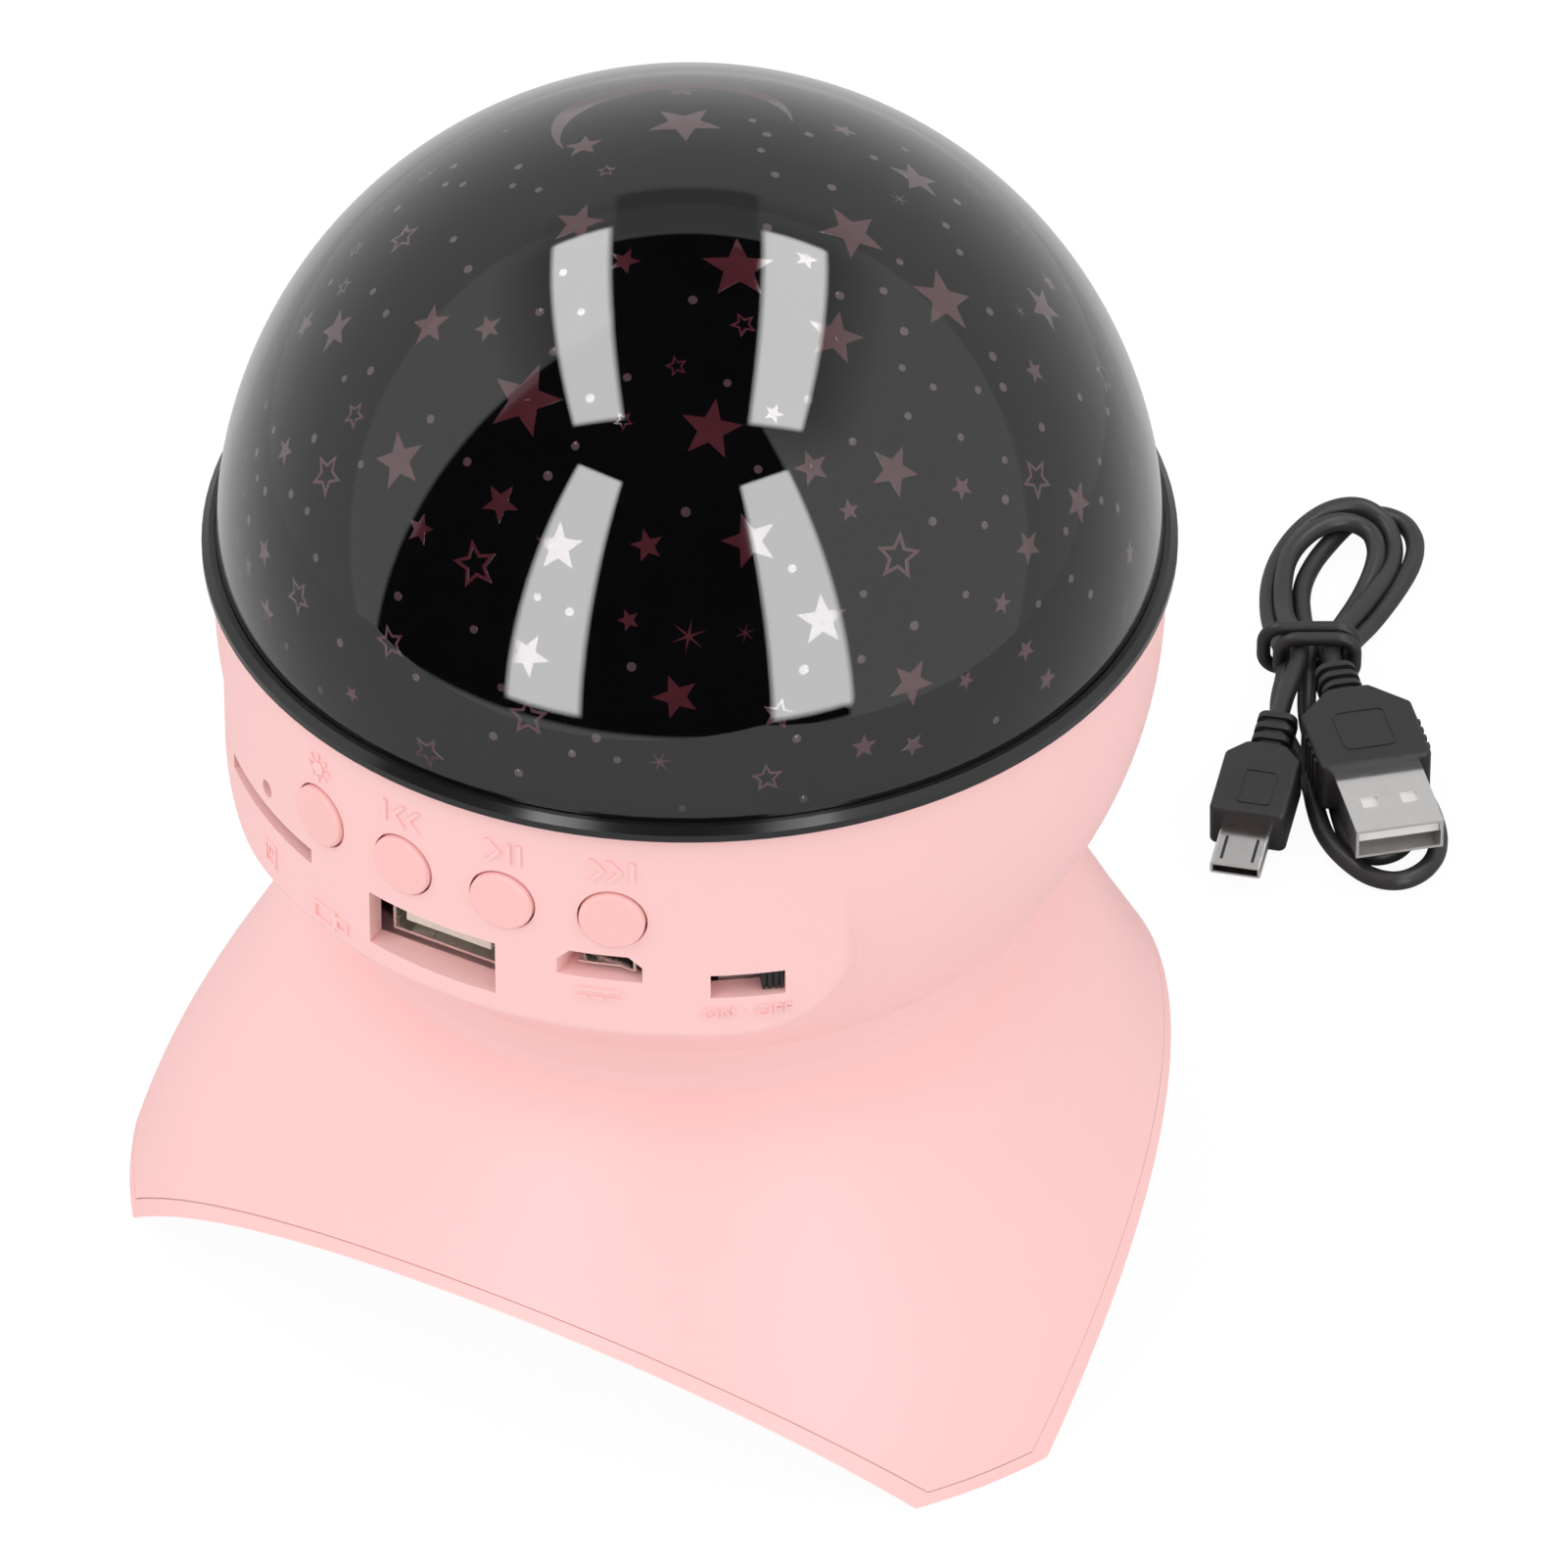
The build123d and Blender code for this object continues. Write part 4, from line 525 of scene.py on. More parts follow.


# The listed windows: longitude and latitude in degrees, and reach in millimetres
MOON = (-142.2, 74.9, 15.3)
LARGE_STARS = (
    (-148, 79, 4.9), (50, 72, 4.7), (99, 68, 4.4), (98, 54, 4.6), (-4, 51, 5.0), (34, 51, 4.0),
    (-21, 37, 3.9), (65, 41, 3.4), (10, 35, 3.2), (-53, 40, 3.2), (-34, 52, 3.0), (67, 59, 3.8),
    (39, 37, 3.6), (48, 26, 3.4), (8, 21, 3.0), (59, 15, 3.2), (95, 23, 2.8), (-96, 38, 4.0),
    (137, 59, 3.6), (-29, 74, 3.4), (28, 18, 3.0), (-70, 22, 3.4), (118, 40, 3.4),
)
OUTLINED_STARS = (
    (-33, 29, 3.0), (61, 31, 3.2), (-2, 30, 3.2), (89, 30, 2.8), (-30, 13, 2.6), (-12, 16, 2.4),
    (9, 13, 2.8), (41, 15, 2.2), (120, 26, 3.0), (-64, 52, 2.6),
)


def by_hand(windows):
    """The place, in radians, and the reach, in metres, of listed windows."""
    return [((radians(east), radians(north)), reach * MM) for east, north, reach in windows]


def place_large_windows(film):
    """The moon, with places kept clear along its crescent, then the large and the outlined stars."""
    place, radius = by_hand([MOON])[0]
    for turn in (-80, -40, 0, 40, 80):
        crown = film.on_dome(place, radians(180 + turn), 0.0, radius, 1.0) - DOME_CENTRE
        film.taken.append((crown.normalized(), 3.5 * MM))
    film.patch(place, *moon_outlines(radius), turn=radians(175), rings=2)
    for k, (place, reach) in enumerate(by_hand(LARGE_STARS)):
        film.free(place, reach)
        film.patch(place, star_outline(reach), turn=radians(17 * k))
    for k, (place, reach) in enumerate(by_hand(OUTLINED_STARS)):
        film.free(place, reach)
        film.outlined_star(place, reach, 0.66, radians(23 * k))


def moon_outlines(radius, steps=24):
    """The edge of a thin crescent, and its middle line, both led round and back."""
    sweep = radians(207)
    outside, inside, middle = [], [], []
    for k in range(steps + 1):
        turn = sweep * (k / steps - 0.5)
        thick = 0.38 * radius * abs(cos(turn * pi / sweep)) ** 1.3 + 0.008 * radius
        for edge, share in ((outside, 0.0), (middle, 0.5), (inside, 1.0)):
            reach = radius - thick * share
            edge.append((reach * sin(turn), reach * cos(turn)))
    return outside + inside[::-1], middle + middle[::-1]


def free_places(film, seed, count, reaches, gap):
    """Places on the dome clear of the windows so far, and their reaches, in a seeded order."""
    order = random.Random(seed)
    while count > 0:
        place = (order.uniform(-pi, pi), pi / 2 - acos(order.uniform(0.035, 0.985)))
        reach = order.uniform(*reaches) * MM
        if film.free(place, reach + gap * MM):
            count -= 1
            yield order, place, reach


def scatter_small_windows(film, settings):
    """Small stars between the large windows."""
    for order, place, reach in free_places(film, settings.seed, settings.small_stars, (1.2, 2.7), 1.6):
        turn = order.uniform(0, 2 * pi)
        kind = order.random()
        if kind < 0.72:
            film.patch(place, star_outline(reach), turn=turn)
        elif kind < 0.94:
            film.outlined_star(place, reach, 0.64, turn)
        else:
            film.patch(place, star_outline(reach, waist=0.14, points=6), turn=turn)


def scatter_dots(film, settings):
    """Dots between the stars."""
    for _, place, reach in free_places(film, settings.seed + 1, settings.dots, (0.48, 0.64), 1.3):
        film.patch(place, circle_outline(reach), rings=1)


class NIGHTLIGHT_OT_dome(bpy.types.Operator):
    """Makes the clear dome"""

    bl_idname = "night_light.dome"
    bl_label = "Clear dome"

    def execute(self, context):
        points, faces = dome_shell(DOME_RADIUS, FILM_RADIUS + FILM_GAP, DOME_LOW.z, 72, 192)
        dome = mesh_object("clear_dome", points, faces, clear_dome_finish(), "dome")
        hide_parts("dome_cover")
        return {"FINISHED"}


class NIGHTLIGHT_OT_film(bpy.types.Operator):
    """Makes the printed film and its windows"""

    bl_idname = "night_light.film"
    bl_label = "Star film"

    def execute(self, context):
        settings = context.scene.night_light_lamp
        points, faces = dome_shell(FILM_RADIUS, FILM_RADIUS - FILM_WALL, FILM_LOW.z, 60, 160)
        shell = mesh_object("film_shell", points, faces, printed_black(), "turntable")
        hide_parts("star_film")
        film = FilmPrint(FILM_RADIUS, settings.window_height)
        place_large_windows(film)
        scatter_small_windows(film, settings)
        film.finish("film_stars", film_window("film_window", settings.window))
        scatter_dots(film, settings)
        film.finish("film_dots", film_window("dot_window", settings.dot_window))
        return {"FINISHED"}


# ---------------------------------------------------------------- housings
def join_cove(material, columns=160, steps=24):
    """The soft cove where the bowl stands on the base. Its edges are sunk under both shells."""
    sunk, buried = 0.15 * MM, 0.8 * MM
    foot_z, top_z = BOWL_LOW_EDGE - 3.6 * MM, BOWL_LOW_EDGE + 3.4 * MM
    bowl_reach = sqrt(PANEL_RADIUS**2 - (BOWL_CENTRE_Z - top_z) ** 2)
    foot = Vector((COLLAR_RADIUS - sunk, foot_z))
    knee = Vector((COLLAR_RADIUS + 0.25 * MM, BOWL_LOW_EDGE - 0.2 * MM))
    head = Vector((bowl_reach - sunk, top_z))
    profile = []
    for k in range(steps + 1):
        t = k / steps
        profile.append(foot * (1 - t) ** 2 + knee * 2 * t * (1 - t) + head * t**2)
    profile += [Vector((bowl_reach - buried, top_z)), Vector((COLLAR_RADIUS - buried, foot_z))]
    count = len(profile)
    points, faces = [], []
    for k in range(columns):
        turn = 2 * pi * k / columns
        points += [Vector((p.x * cos(turn), p.x * sin(turn), p.y)) for p in profile]
        faces += band(k * count, (k + 1) % columns * count, count)
    cove = mesh_object("bowl_cove", points, faces, material, "housing")
    face_outwards(cove)


class NIGHTLIGHT_OT_housings(bpy.types.Operator):
    """Finishes the pink housings, the buttons and the black turntable"""

    bl_idname = "night_light.housings"
    bl_label = "Housings"

    def execute(self, context):
        settings = context.scene.night_light_lamp
        pink = moulded_pink("moulded_pink", settings.pink)
        dress(pink, "bowl_shell", "base_shell", "bottom_cover")
        keys = moulded_pink("key_pink", settings.key_pink)
        dress(keys, "button_led", "button_previous", "button_play", "button_next")
        join_cove(pink)
        dress(gloss_black(), "turntable")
        return {"FINISHED"}


def wrap_on_panel(points, angle, z):
    """Points of a flat mark, X along, Y up and Z out, laid on the round panel."""
    wrapped = []
    for x, y, out in points:
        radius = PANEL_RADIUS + out
        turn = radians(angle) + x / PANEL_RADIUS
        wrapped.append(Vector((radius * sin(turn), -radius * cos(turn), z + y)))
    return wrapped


def emboss(name, outlines, angle, z, material):
    """Raises closed outlines, in millimetres, out of the panel."""
    height = bpy.context.scene.night_light_lamp.mark_height
    points, faces = [], []
    for outline in outlines:
        faces += prism(len(points), len(outline))
        for out in (height, -MARK_SINK):
            points += [(x * MM, y * MM, out) for x, y in outline]
    points = wrap_on_panel(points, angle, z)
    mark = mesh_object(name, points, faces, material, "housing", smooth=False)
    face_outwards(mark)


def bar(x, y, width, height):
    """A rectangle by its middle, cut in steps so that it follows the panel."""
    steps = max(1, round(width / 0.8))
    along = [x - width / 2 + width * k / steps for k in range(steps + 1)]
    low = [(place, y - height / 2) for place in along]
    return low + [(place, y + height / 2) for place in reversed(along)]


def frame_bars(width, height, line):
    """The four sides of a rectangle drawn with a line."""
    reach = height / 2 - line / 2
    side = width / 2 - line / 2
    return [
        bar(0, reach, width, line),
        bar(0, -reach, width, line),
        bar(side, 0, line, height - 2 * line),
        bar(-side, 0, line, height - 2 * line),
    ]


def chevron(x, height, width, line, way):
    """An open arrow that points along X."""
    tip, back = x + way * width, way * line * 1.3
    outline = [(x, -height / 2), (x + back, -height / 2), (tip + back, 0), (x + back, height / 2)]
    return outline + [(x, height / 2), (tip, 0)]


def skip_mark(way):
    """Two open arrows and a bar."""
    arrows = [chevron(way * shift, 3.3, 1.5, 0.5, way) for shift in (-2.9, -0.7)]
    return arrows + [bar(way * 2.6, 0, 0.6, 3.3)]


def play_mark():
    """An open arrow and two bars."""
    return [chevron(-2.2, 3.3, 1.6, 0.5, 1), bar(1.0, 0, 0.6, 3.3), bar(2.4, 0, 0.6, 3.3)]


def light_mark():
    """A small sun: a disc and eight rays."""
    marks = [circle_outline(0.95)]
    for k in range(8):
        turn = pi * k / 4
        ahead, across = (sin(turn), cos(turn)), (cos(turn), -sin(turn))
        ray = ((1.35, -0.2), (2.1, -0.2), (2.1, 0.2), (1.35, 0.2))
        marks.append([(ahead[0] * r + across[0] * s, ahead[1] * r + across[1] * s) for r, s in ray])
    return marks


def stick_mark():
    """A memory stick: a body with its plug."""
    body = [[(x - 1.3, y) for x, y in outline] for outline in frame_bars(4.2, 2.8, 0.45)]
    plug = [[(x + 1.9, y) for x, y in outline] for outline in frame_bars(2.2, 1.9, 0.4)]
    return body + plug


def card_mark():
    """A memory card with two contacts."""
    return frame_bars(2.8, 3.4, 0.45) + [bar(0.55, 0.7, 0.35, 1.1), bar(-0.35, 0.7, 0.35, 1.1)]


def current_mark():
    """The sign for direct current: a long bar over three short ones."""
    return [bar(0, 0.6, 5.4, 0.45)] + [bar(2.0 * k, -0.6, 1.4, 0.45) for k in (-1, 0, 1)]


def lettering(name, words, size, angle, z, material):
    """Raised letters on the panel."""
    height = bpy.context.scene.night_light_lamp.mark_height
    curve = bpy.data.curves.new(name, "FONT")
    curve.body = words
    curve.size = size
    curve.align_x = "CENTER"
    curve.align_y = "CENTER"
    curve.extrude = (height + MARK_SINK) / 2
    curve.space_character = 1.1
    flat = bpy.data.objects.new(name, curve)
    bpy.context.scene.collection.objects.link(flat)
    bpy.context.view_layer.update()
    mesh = bpy.data.meshes.new_from_object(flat.evaluated_get(bpy.context.evaluated_depsgraph_get()))
    bpy.data.objects.remove(flat)
    lift = (height - MARK_SINK) / 2
    points = [(vertex.co.x, vertex.co.y, vertex.co.z + lift) for vertex in mesh.vertices]
    for vertex, place in zip(mesh.vertices, wrap_on_panel(points, angle, z)):
        vertex.co = place
    mesh.materials.clear()
    mesh.materials.append(material)
    return new_object(name, mesh, "housing")


class NIGHTLIGHT_OT_marks(bpy.types.Operator):
    """Raises the marks beside the buttons and openings"""

    bl_idname = "night_light.marks"
    bl_label = "Panel marks"

    def execute(self, context):
        pink = bpy.data.materials["moulded_pink"]
        # Each mark: its name and outlines, degrees round the panel and height in millimetres
        marks = (
            ("light_mark", light_mark(), -20.4, 97.8),
            ("previous_mark", skip_mark(-1), -6.8, 97.8),
            ("play_mark", play_mark(), 6.8, 97.8),
            ("next_mark", skip_mark(1), 20.4, 97.8),
            ("stick_mark", stick_mark(), -18.6, 74.6),
            ("card_mark", card_mark(), -31.4, 76.4),
            ("current_mark", current_mark(), 18.7, 78.0),
        )
        for name, outlines, angle, z in marks:
            emboss(name, outlines, angle, z * MM, pink)
        lettering("switch_words", "ON · OFF", 2.5 * MM, 36.4, 75.6 * MM, pink)
        return {"FINISHED"}


# ---------------------------------------------------------------- ports, inside and plugs
def charge_port_lip(metal, steps=8):
    """The folded lower lip at the charging port's mouth. It runs out to the housing's wall."""
    low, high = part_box("charge_port_shell")
    left, right = low.x + 0.4 * MM, high.x - 0.4 * MM
    back = low.y + 0.2 * MM
    wall = PANEL_RADIUS - 2.0 * MM
    across = [left + (right - left) * k / steps for k in range(steps + 1)]
    front = [(x, min(low.y - 0.15 * MM, -sqrt(wall**2 - x * x))) for x in across]
    outline = front + [(right, back), (left, back)]
    points = [Vector((x, y, low.z + z * MM)) for z in (0.05, 0.35) for x, y in outline]
    faces = prism(0, len(outline))
    lip = mesh_object("charge_port_lip", points, faces, metal, "housing", smooth=False)
    face_outwards(lip)


class NIGHTLIGHT_OT_insides(bpy.types.Operator):
    """Finishes the ports, boards, drive, loudspeaker and battery"""

    bl_idname = "night_light.insides"
    bl_label = "Inside"

    def execute(self, context):
        port_metal = sheet_metal("port_metal", (0.8, 0.78, 0.74), 0.2)
        dress(port_metal, "data_port_shell", "charge_port_shell")
        charge_port_lip(port_metal)
        dress(sheet_metal("stamped_plate", (0.72, 0.72, 0.72), 0.3), "card_reader", "gearbox_case")
        dress(plain_moulding("cream_moulding", (0.8, 0.76, 0.66), 0.4), "data_port_tongue")
        dress(soft_black("switch_black", (0.012, 0.012, 0.012), 0.35, 0.3 * MM), "power_switch_knob")
        dress(sheet_metal("switch_plate", (0.6, 0.6, 0.6), 0.35), "power_switch_body")
        steel = sheet_metal("zinc_steel", (0.66, 0.67, 0.69), 0.28)
        dress(steel, "gear_screws", "deck_screws", "motor_screws", "lamp_screws", "bowl_screws")
        dress(steel, "cover_screws", "board_screws", "speaker_screws", "motor_shaft", "motor_can")
        dress(steel, "hub_clip", "speaker_frame")
        dress(sheet_metal("magnet_grey", (0.25, 0.25, 0.26), 0.45), "speaker_magnet")
        white = plain_moulding("white_moulding", (0.78, 0.78, 0.75), 0.42)
        dress(white, "turntable_gear", "drive_pinion", "top_deck", "lamp_post", "battery_holder")
        dress(plain_moulding("washer_moulding", (0.7, 0.7, 0.6), 0.25), "thrust_washer")
        board = plain_moulding("board_green", (0.02, 0.16, 0.06), 0.3)
        dress(board, "main_board", "key_board", "lamp_board")
        black = plain_moulding("chip_black", (0.015, 0.015, 0.015), 0.5)
        dress(black, "board_chips", "capacitors", "tact_switches", "microphone")
        dress(plain_moulding("cone_paper", (0.03, 0.03, 0.03), 0.8, gloss=0.2), "speaker_cone")
        dress(clear_lens(), "lamp_leds")
        dress(plain_moulding("cell_sleeve", (0.04, 0.14, 0.5), 0.25), "battery_cell")
        return {"FINISHED"}


def hank_point(across, along, up):
    """A point of the hank, from millimetres across it, along it and up."""
    settings = bpy.context.scene.night_light_cable
    spot = Matrix.Rotation(settings.turn, 3, "Z") @ Vector((across * MM, along * MM, 0))
    return Vector(settings.middle) + spot + Vector((0, 0, up * MM))


# The cord's route, in millimetres: across the hank, along it, and up
SMALL_LEAD = ((-5.8, -17.2, 5.6), (-4.9, -12, 5.6), (-3.5, -7, 5.5), (-2.3, -2, 5.5))
FRONT_LOOP = (
    (-2.6, 1.4, 5.4), (-3.6, 5.5, 4.6), (-4.3, 10.3, 3.3), (-4.2, 18, 3.1), (-2.9, 24, 3.2),
    (0.6, 28.2, 3.9), (4.3, 29.9, 4.0), (7.8, 28.9, 3.2), (8.9, 25.6, 2.9), (8.5, 21.2, 2.6),
    (6.4, 15.5, 1.6), (3.6, 9.4, 1.6), (1.5, 3.6, 2.8),
)
INNER_LOOP = (
    (1.3, 0.4, 3.2), (1.9, -3, 3.0), (2.9, -8, 1.6), (3.8, -13, 1.3), (6.8, -19, 1.3), (10, -26, 1.3),
    (12.3, -33, 1.3), (10.6, -38.6, 1.3), (6.4, -40.6, 1.3), (3.4, -37.6, 1.3), (2.2, -31, 1.3),
    (1.6, -25, 1.3), (-0.2, -18, 1.3), (-1.7, -11, 1.3), (-1.4, -4, 2.8),
)
MIDDLE_LOOP = (
    (-1.2, 0.6, 3.2), (-0.9, 4.6, 2.6), (-1.6, 10.3, 1.3), (-1.8, 17.4, 1.3), (0, 23.4, 1.3),
    (2.8, 28.7, 1.3), (5.7, 33.3, 1.3), (9.6, 34.8, 1.3), (13.1, 32.6, 1.3), (14.5, 28.2, 1.3),
    (13.7, 23, 1.3), (11.2, 16.8, 1.3), (7.8, 10, 1.4), (5, 4.6, 2.6),
)
OUTER_LOOP = (
    (3.7, 0.4, 3.2), (4.3, -3.6, 2.8), (5.4, -8.6, 1.4), (7, -14, 1.3), (10.3, -19.4, 1.3),
    (13.2, -25.6, 1.3), (15.1, -32.2, 1.3), (15.5, -38.4, 1.3), (13.6, -43, 1.3), (10, -45.6, 1.3),
    (6, -44.6, 1.3), (2.6, -40.6, 1.3), (0.2, -36, 1.3), (-0.9, -30.4, 1.3), (-1.4, -24.6, 1.3),
    (-3.4, -18.4, 1.3), (-5.2, -12.6, 1.3), (-5.4, -7.6, 1.6), (-4.3, -3, 2.9),
)
BACK_LOOP = (
    (-4.1, 0.6, 3.2), (-5, 5, 2.4), (-6.1, 10.3, 1.4), (-6.2, 17.4, 1.3), (-4.7, 24.5, 1.5),
    (-1.6, 29.6, 2.6), (2.6, 32.7, 3.8), (7.1, 33.4, 3.9), (10.4, 31.4, 2.4), (11.5, 27, 1.4),
    (10.7, 21.4, 1.8), (8.3, 15.4, 2.8), (5.4, 9.2, 3.6), (3, 4.2, 4.8),
)
WIDE_LEAD = ((1.9, 0.4, 5.5), (1.8, -3, 5.8), (2.1, -8.6, 6.7))


def plug_frame(tail, turn, dip):
    """The frame of a plug: X across it, Y back towards its cord and Z up."""
    heading = bpy.context.scene.night_light_cable.turn + radians(turn)
    lean = Matrix.Rotation(heading, 4, "Z") @ Matrix.Rotation(radians(dip), 4, "X")
    return Matrix.Translation(hank_point(*tail)) @ lean


def round_outline(width, length, corner, steps=5):
    """A rectangle with round corners about the origin."""
    outline = []
    for quarter, (side, end) in enumerate(((1, 1), (-1, 1), (-1, -1), (1, -1))):
        for k in range(steps + 1):
            turn = pi / 2 * (quarter + k / steps)
            x = side * (width / 2 - corner) + corner * cos(turn)
            outline.append((x, end * (length / 2 - corner) + corner * sin(turn)))
    return outline


def raised_line(name, place, centre, size, corner, line, top, material):
    """A closed line with round corners that stands out of a plug's flat top, in millimetres."""
    outer = round_outline(size[0], size[1], corner)
    inner = round_outline(size[0] - 2 * line, size[1] - 2 * line, corner - line)
    count = len(outer)
    points, faces = [], []
    for z in (top + 0.12, top - 0.3):
        for rim in (outer, inner):
            points += [place @ (Vector((centre[0] + x, centre[1] + y, z)) * MM) for x, y in rim]
    for here, there in ((0, 1), (1, 3), (3, 2), (2, 0)):
        faces += band(here * count, there * count, count)
    piece = mesh_object(name, points, faces, material, "housing", smooth=False)
    face_outwards(piece)
    return piece


def blocks(name, place, parts, material):
    """Several small blocks on a plug as one piece, each by its centre and size in millimetres."""
    points, faces = [], []
    for centre, size in parts:
        faces += prism(len(points), 4)
        for z in (1, -1):
            for x, y in ((-1, -1), (1, -1), (1, 1), (-1, 1)):
                corner = Vector(centre) + Vector((x * size[0], y * size[1], z * size[2])) / 2
                points.append(place @ (corner * MM))
    return mesh_object(name, points, faces, material, "housing", smooth=False)


# Each plug's place: its tail in the hank in millimetres, and its turn and dip in degrees
SMALL_PLUG = ((-5.7, -16.7, 5.6), -12.7, 5.2)
WIDE_PLUG = ((2.1, -8.2, 6.75), 12.5, 0.0)
# From each plug's tail to its front, and half its thickness, in millimetres
SMALL_FRONT, SMALL_HALF = 21.4, 3.3
WIDE_FRONT, WIDE_HALF = 23.4, 3.7
WIDE_WIDTH = 15.2


def plug_details(rubber, slot_black):
    """Makes the pads, grip ribs and slots of both plugs, and lists them."""
    small, wide = plug_frame(*SMALL_PLUG), plug_frame(*WIDE_PLUG)
    pad = (0.4, 5.2 - SMALL_FRONT)
    small_pad = raised_line("small_plug_pad", small, pad, (4.6, 6.6), 0.7, 0.3, SMALL_HALF, rubber)
    slots = [((side * 2.1, -SMALL_FRONT - 4.6, 0.93), (0.4, 4.4, 0.06)) for side in (-1, 1)]
    small_slots = blocks("small_plug_slots", small, slots, slot_black)
    pad = (0, 7.2 - WIDE_FRONT)
    wide_pad = raised_line("wide_plug_pad", wide, pad, (7.4, 8.2), 1.2, 0.35, WIDE_HALF, rubber)
    ribs = []
    for side in (-1, 1):
        for k in range(4):
            centre = (side * (WIDE_WIDTH / 2 - 0.1), 3.0 + 1.7 * k - WIDE_FRONT, 0)
            ribs.append((centre, (0.9, 0.8, 2 * WIDE_HALF - 1.6)))
    wide_ribs = blocks("wide_plug_ribs", wide, ribs, rubber)
    return [small_pad, small_slots, wide_pad, wide_ribs]


class NIGHTLIGHT_OT_cable(bpy.types.Operator):
    """Makes the charging cable's cord and finishes its plugs and tie"""

    bl_idname = "night_light.cable"
    bl_label = "Charging cable"

    def execute(self, context):
        settings = context.scene.night_light_cable
        route = SMALL_LEAD + FRONT_LOOP + INNER_LOOP + MIDDLE_LOOP + OUTER_LOOP + BACK_LOOP + WIDE_LEAD
        points = [hank_point(*point) for point in route]
        curve = bpy.data.curves.new("charging_cord", "CURVE")
        curve.dimensions = "3D"
        curve.bevel_depth = settings.diameter / 2
        curve.bevel_resolution = 5
        curve.resolution_u = 10
        curve.use_fill_caps = True
        spline = curve.splines.new("NURBS")
        spline.points.add(len(points) - 1)
        for knot, point in zip(spline.points, points):
            knot.co = (*point, 1.0)
        spline.order_u = 3
        spline.use_endpoint_u = True
        curve.materials.append(soft_black("cord_sheath", settings.colour, 0.38, 0.4 * MM))
        cord = new_object("charging_cord", curve, "housing")
        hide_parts("charging_cable_hank", "small_plug_lead", "wide_plug_lead")
        rubber = soft_black("plug_moulding", opaque(settings.colour, 0.55), 0.45, 0.5 * MM)
        details = plug_details(rubber, soft_black("slot_black", (0.01, 0.01, 0.01), 0.6, 0.5 * MM))
        length = sum((b - a).length for a, b in zip(points, points[1:]))
        tuple(points[0])
        dress(rubber, "small_plug_body", "wide_plug_body")
        plating = sheet_metal("plug_metal", (0.88, 0.86, 0.85), 0.14)
        dress(plating, "small_plug_shell", "wide_plug_shell")
        dress(plain_moulding("plug_white", (0.85, 0.85, 0.83), 0.4), "wide_plug_insert")
        dress(soft_black("tie_rubber", (0.015, 0.015, 0.015), 0.4, 0.5 * MM), "cable_tie")
        return {"FINISHED"}


# ---------------------------------------------------------------- stage
def light_box(paint, ray, facing, across, upward, middle, half, soft=0.03):
    """1 inside a rectangle of light seen along the facing direction, 0 outside it."""
    ahead = paint.along(ray, facing)
    x = paint.along(ray, across) / ahead.larger(0.001)
    y = paint.along(ray, upward) / ahead.larger(0.001)
    inside_x = ((half[0] - abs(x - middle[0])) / soft + 0.5).clamped()
    inside_y = ((half[1] - abs(y - middle[1])) / soft + 0.5).clamped()
    return inside_x * inside_y * (ahead > 0.0)


def beyond(paint, ray, direction, limit, soft=0.02):
    """1 on the far side of an upright or sloping edge, 0 on the near side."""
    return ((paint.along(ray, direction) - limit) / soft + 0.5).clamped()


def level_direction(angle):
    """A level direction at an angle from the camera's side of the lamp."""
    turn = bpy.context.scene.night_light_stage.azimuth + radians(angle)
    return Vector((sin(turn), -cos(turn), 0))


# Light boxes overhead: middle and half size, right and forwards, for each unit of height
OVERHEAD_BOXES = (((-0.42, -0.09), (0.125, 0.51)), ((0.41, -0.06), (0.135, 0.51)))
# Upright light boxes: degrees from the camera's side, and half width for each unit of distance
UPRIGHT_BOXES = ((-33, 0.15), (28, 0.16))
BOX_GLOW = 6.5


def studio_world(settings):
    """A white room for the camera, and a tent with four light boxes for gloss."""
    world = bpy.data.worlds.new("studio")
    bpy.context.scene.world = world
    world.use_nodes = True
    paint = Paint(world.node_tree)
    ray = paint.node("ShaderNodeTexCoord", output="Generated")
    front, right = level_direction(0), level_direction(90)

    def overhead(middle, half, soft=0.03):
        return light_box(paint, ray, UP, right, front, middle, half, soft)

    lit = [overhead(middle, half) for middle, half in OVERHEAD_BOXES]
    for angle, half_width in UPRIGHT_BOXES:
        facing, across = level_direction(angle), level_direction(angle + 90)
        lit.append(light_box(paint, ray, facing, across, UP, (0, 0.5), (half_width, 0.65)))
    boxes = sum(lit[1:], lit[0])

    # The tent's dark parts: an opening before the lamp, a column and a lintel, and soft shades
    opening = beyond(paint, ray, level_direction(22), -0.14)
    opening = opening * beyond(paint, ray, level_direction(-53.5), 0.0)
    opening = opening * beyond(paint, ray, UP, -0.2)
    column = overhead((-0.01, 0.05), (0.28, 0.55))
    lintel = overhead((-0.01, -0.69), (0.28, 0.19), 0.05)
    shades = overhead((0.0, -0.1), (0.75, 0.62), 0.35)
    dark = opening.larger(column).larger(lintel * 0.5).larger(shades * 0.45)
    back = beyond(paint, ray, UP * -0.585 - front * 0.811, 0.0)
    glow = settings.sheen * (1.0 - dark) * (1.0 - back * 0.22) + boxes * BOX_GLOW

    seen, mirrored = paint.light_path("Camera"), paint.light_path("Glossy")
    plain = settings.tent * (1.0 - seen) + seen
    strength = plain * (1.0 - mirrored) + glow * mirrored
    inputs = {"Color": (1, 1, 1, 1), "Strength": strength}
    paint.finish(paint.node("ShaderNodeBackground", inputs=inputs), "ShaderNodeOutputWorld")


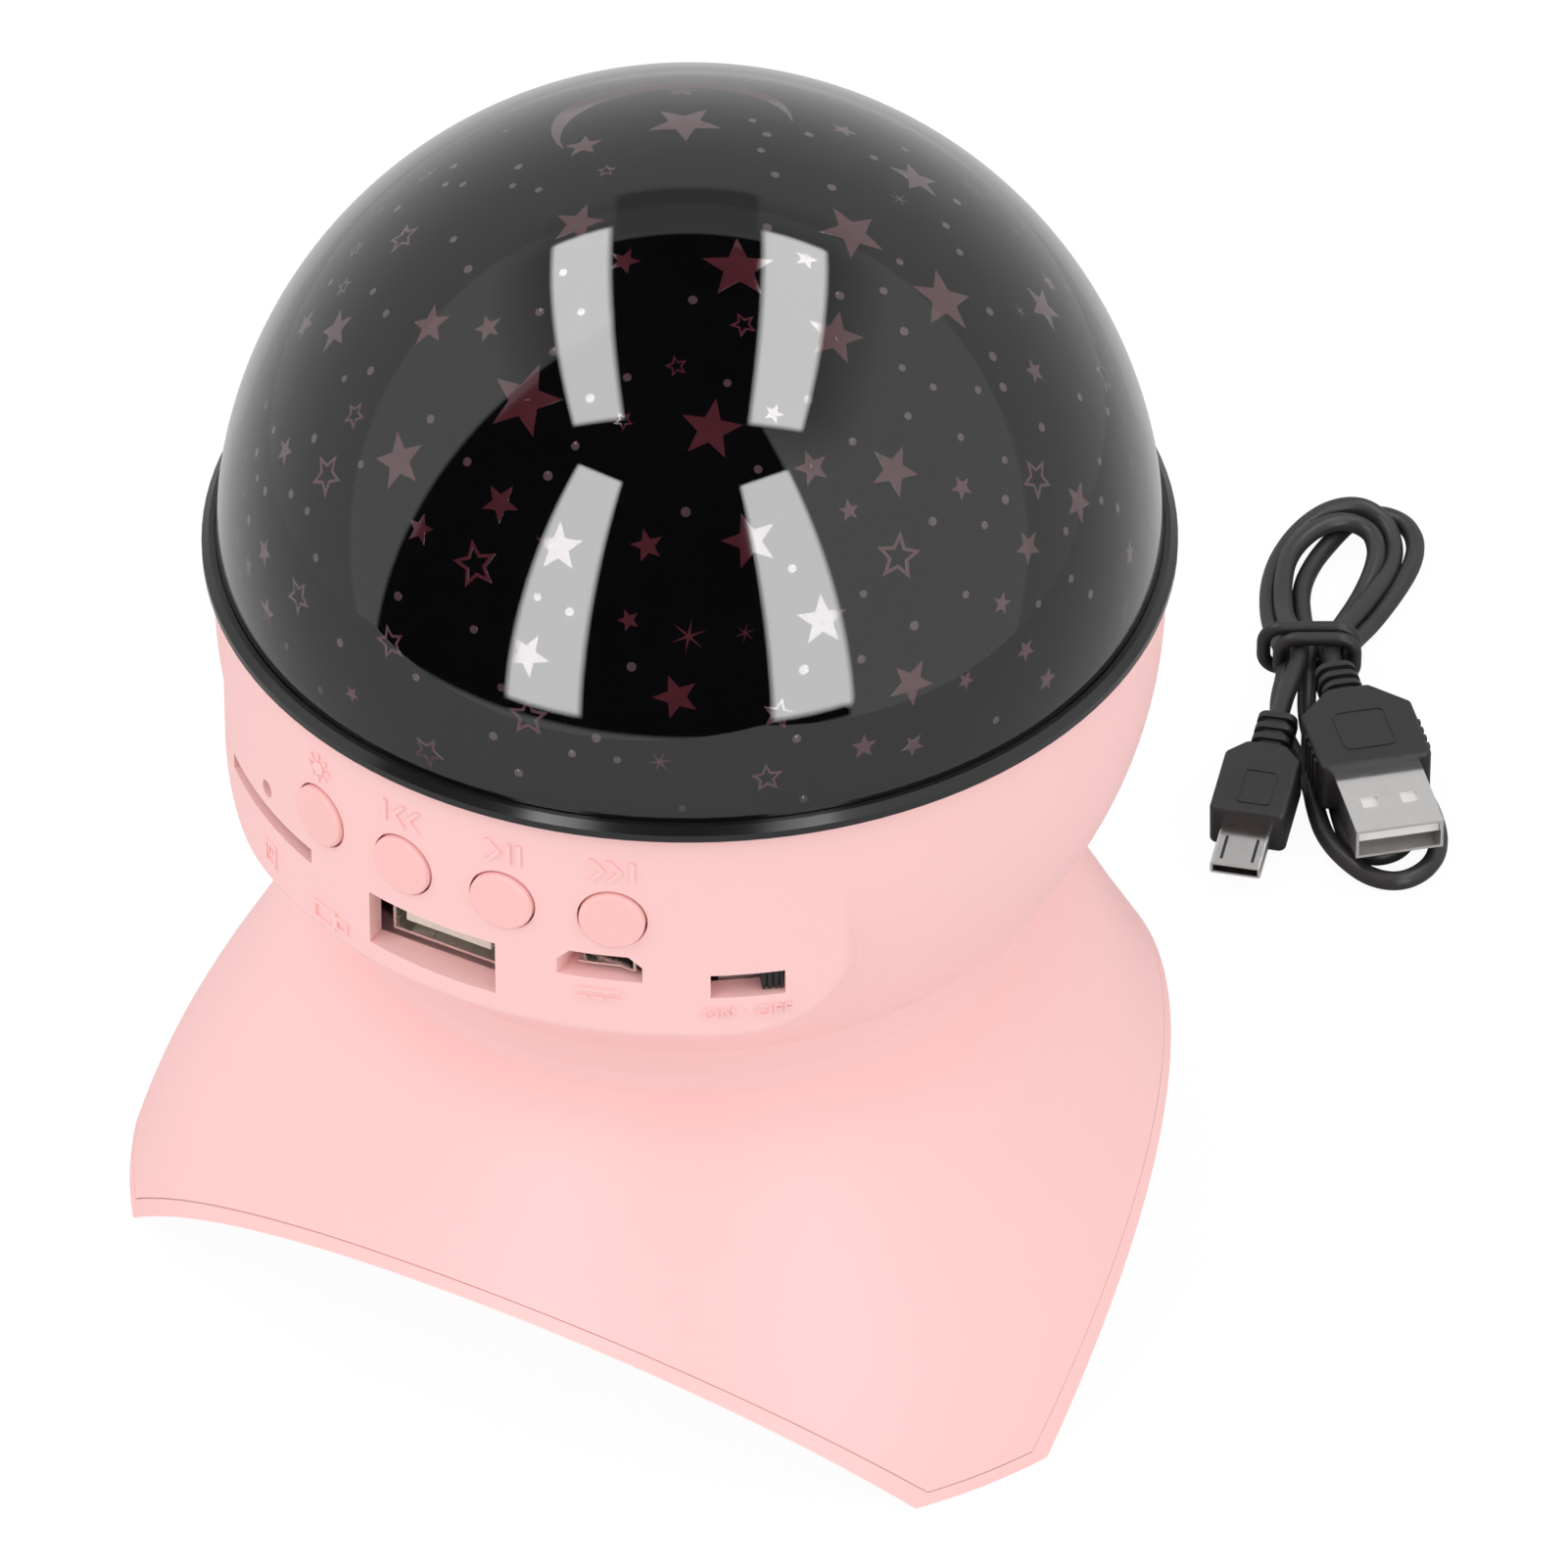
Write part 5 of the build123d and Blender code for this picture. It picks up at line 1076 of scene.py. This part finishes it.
def pale_floor(settings):
    """A pale floor that keeps the lamp's soft shadow and is white to the camera."""
    half = settings.floor_size / 2
    mesh = bpy.data.meshes.new("floor")
    corners = [(-half, -half, 0), (half, -half, 0), (half, half, 0), (-half, half, 0)]
    mesh.from_pydata(corners, [], [(0, 1, 2, 3)])
    material, paint = new_paint("floor")
    _, shade = paint.mottled(settings.floor_colour, 0.99, 1.01, 0.3)
    in_gloss = opaque(settings.floor_colour, 0.6)
    shade = paint.mix_colours(paint.light_path("Glossy"), shade, in_gloss)
    matt = paint.node("ShaderNodeBsdfDiffuse", inputs={"Color": shade})
    white = paint.node("ShaderNodeEmission", inputs={"Color": (1, 1, 1, 1), "Strength": 1.03})
    whiteness = paint.light_path("Camera") * 0.92
    paint.finish(paint.node("ShaderNodeMixShader", inputs={0: whiteness, 1: matt, 2: white}))
    mesh.materials.append(material)
    floor = bpy.data.objects.new("floor", mesh)
    bpy.context.scene.collection.objects.link(floor)


def soft_lamp(name, place, size, power):
    """A square lamp that points at the dome and isn't seen in reflections."""
    light = bpy.data.lights.new(name, "AREA")
    light.energy = power
    light.size = size
    lamp = bpy.data.objects.new(name, light)
    lamp.location = place
    lamp.rotation_euler = (DOME_CENTRE - Vector(place)).to_track_quat("-Z", "Y").to_euler()
    lamp.visible_glossy = False
    lamp.visible_camera = False
    lamp.visible_transmission = False
    bpy.context.scene.collection.objects.link(lamp)


class NIGHTLIGHT_OT_stage(bpy.types.Operator):
    """Sets up the floor, the light and the camera"""

    bl_idname = "night_light.stage"
    bl_label = "Stage"

    def execute(self, context):
        settings = context.scene.night_light_stage
        context.scene.view_settings.view_transform = "Standard"
        studio_world(settings)
        pale_floor(settings)
        soft_lamp("key_lamp", (-0.5, -0.9, 1.3), 1.0, settings.key_power)
        soft_lamp("side_lamp", (1.3, -0.2, 0.8), 0.8, settings.side_power)
        front, side = level_direction(0), level_direction(90)
        away = front * cos(settings.elevation) + UP * sin(settings.elevation)
        view_up = UP * cos(settings.elevation) - front * sin(settings.elevation)
        aim = DOME_CENTRE - view_up * settings.rise + side * settings.sideways
        camera = bpy.data.cameras.new("camera")
        camera.lens = settings.lens
        camera.sensor_width = 36.0
        camera.clip_start = 0.05
        holder = bpy.data.objects.new("camera", camera)
        holder.location = aim + away * settings.distance
        holder.rotation_euler = Euler((pi / 2 - settings.elevation, 0, settings.azimuth))
        context.scene.collection.objects.link(holder)
        context.scene.camera = holder
        return {"FINISHED"}


# ---------------------------------------------------------------- add-on
class NIGHTLIGHT_PT_panel(bpy.types.Panel):
    """Lists the pieces of the night light"""

    bl_idname = "NIGHTLIGHT_PT_panel"
    bl_label = "Night Light"
    bl_space_type = "VIEW_3D"
    bl_region_type = "UI"
    bl_category = "Night Light"

    def draw(self, context):
        for operator in OPERATORS:
            self.layout.operator(operator.bl_idname)


SETTINGS = {
    "night_light_stage": StageSettings,
    "night_light_lamp": LampSettings,
    "night_light_cable": CableSettings,
}
OPERATORS = (
    NIGHTLIGHT_OT_stage,
    NIGHTLIGHT_OT_cable,
    NIGHTLIGHT_OT_housings,
    NIGHTLIGHT_OT_marks,
    NIGHTLIGHT_OT_dome,
    NIGHTLIGHT_OT_film,
    NIGHTLIGHT_OT_insides,
)


def register():
    for group in (*SETTINGS.values(), *OPERATORS, NIGHTLIGHT_PT_panel):
        bpy.utils.register_class(group)
    for name, group in SETTINGS.items():
        setattr(bpy.types.Scene, name, bpy.props.PointerProperty(type=group))


def unregister():
    for name in SETTINGS:
        delattr(bpy.types.Scene, name)
    for group in (NIGHTLIGHT_PT_panel, *reversed(OPERATORS), *reversed(SETTINGS.values())):
        bpy.utils.unregister_class(group)


def main():
    register()
    bpy.ops.night_light.stage()
    bpy.ops.night_light.cable()
    bpy.ops.night_light.housings()
    bpy.ops.night_light.marks()
    bpy.ops.night_light.dome()
    bpy.ops.night_light.film()
    bpy.ops.night_light.insides()
    bpy.context.view_layer.update()


if __name__ == "__main__":
    main()
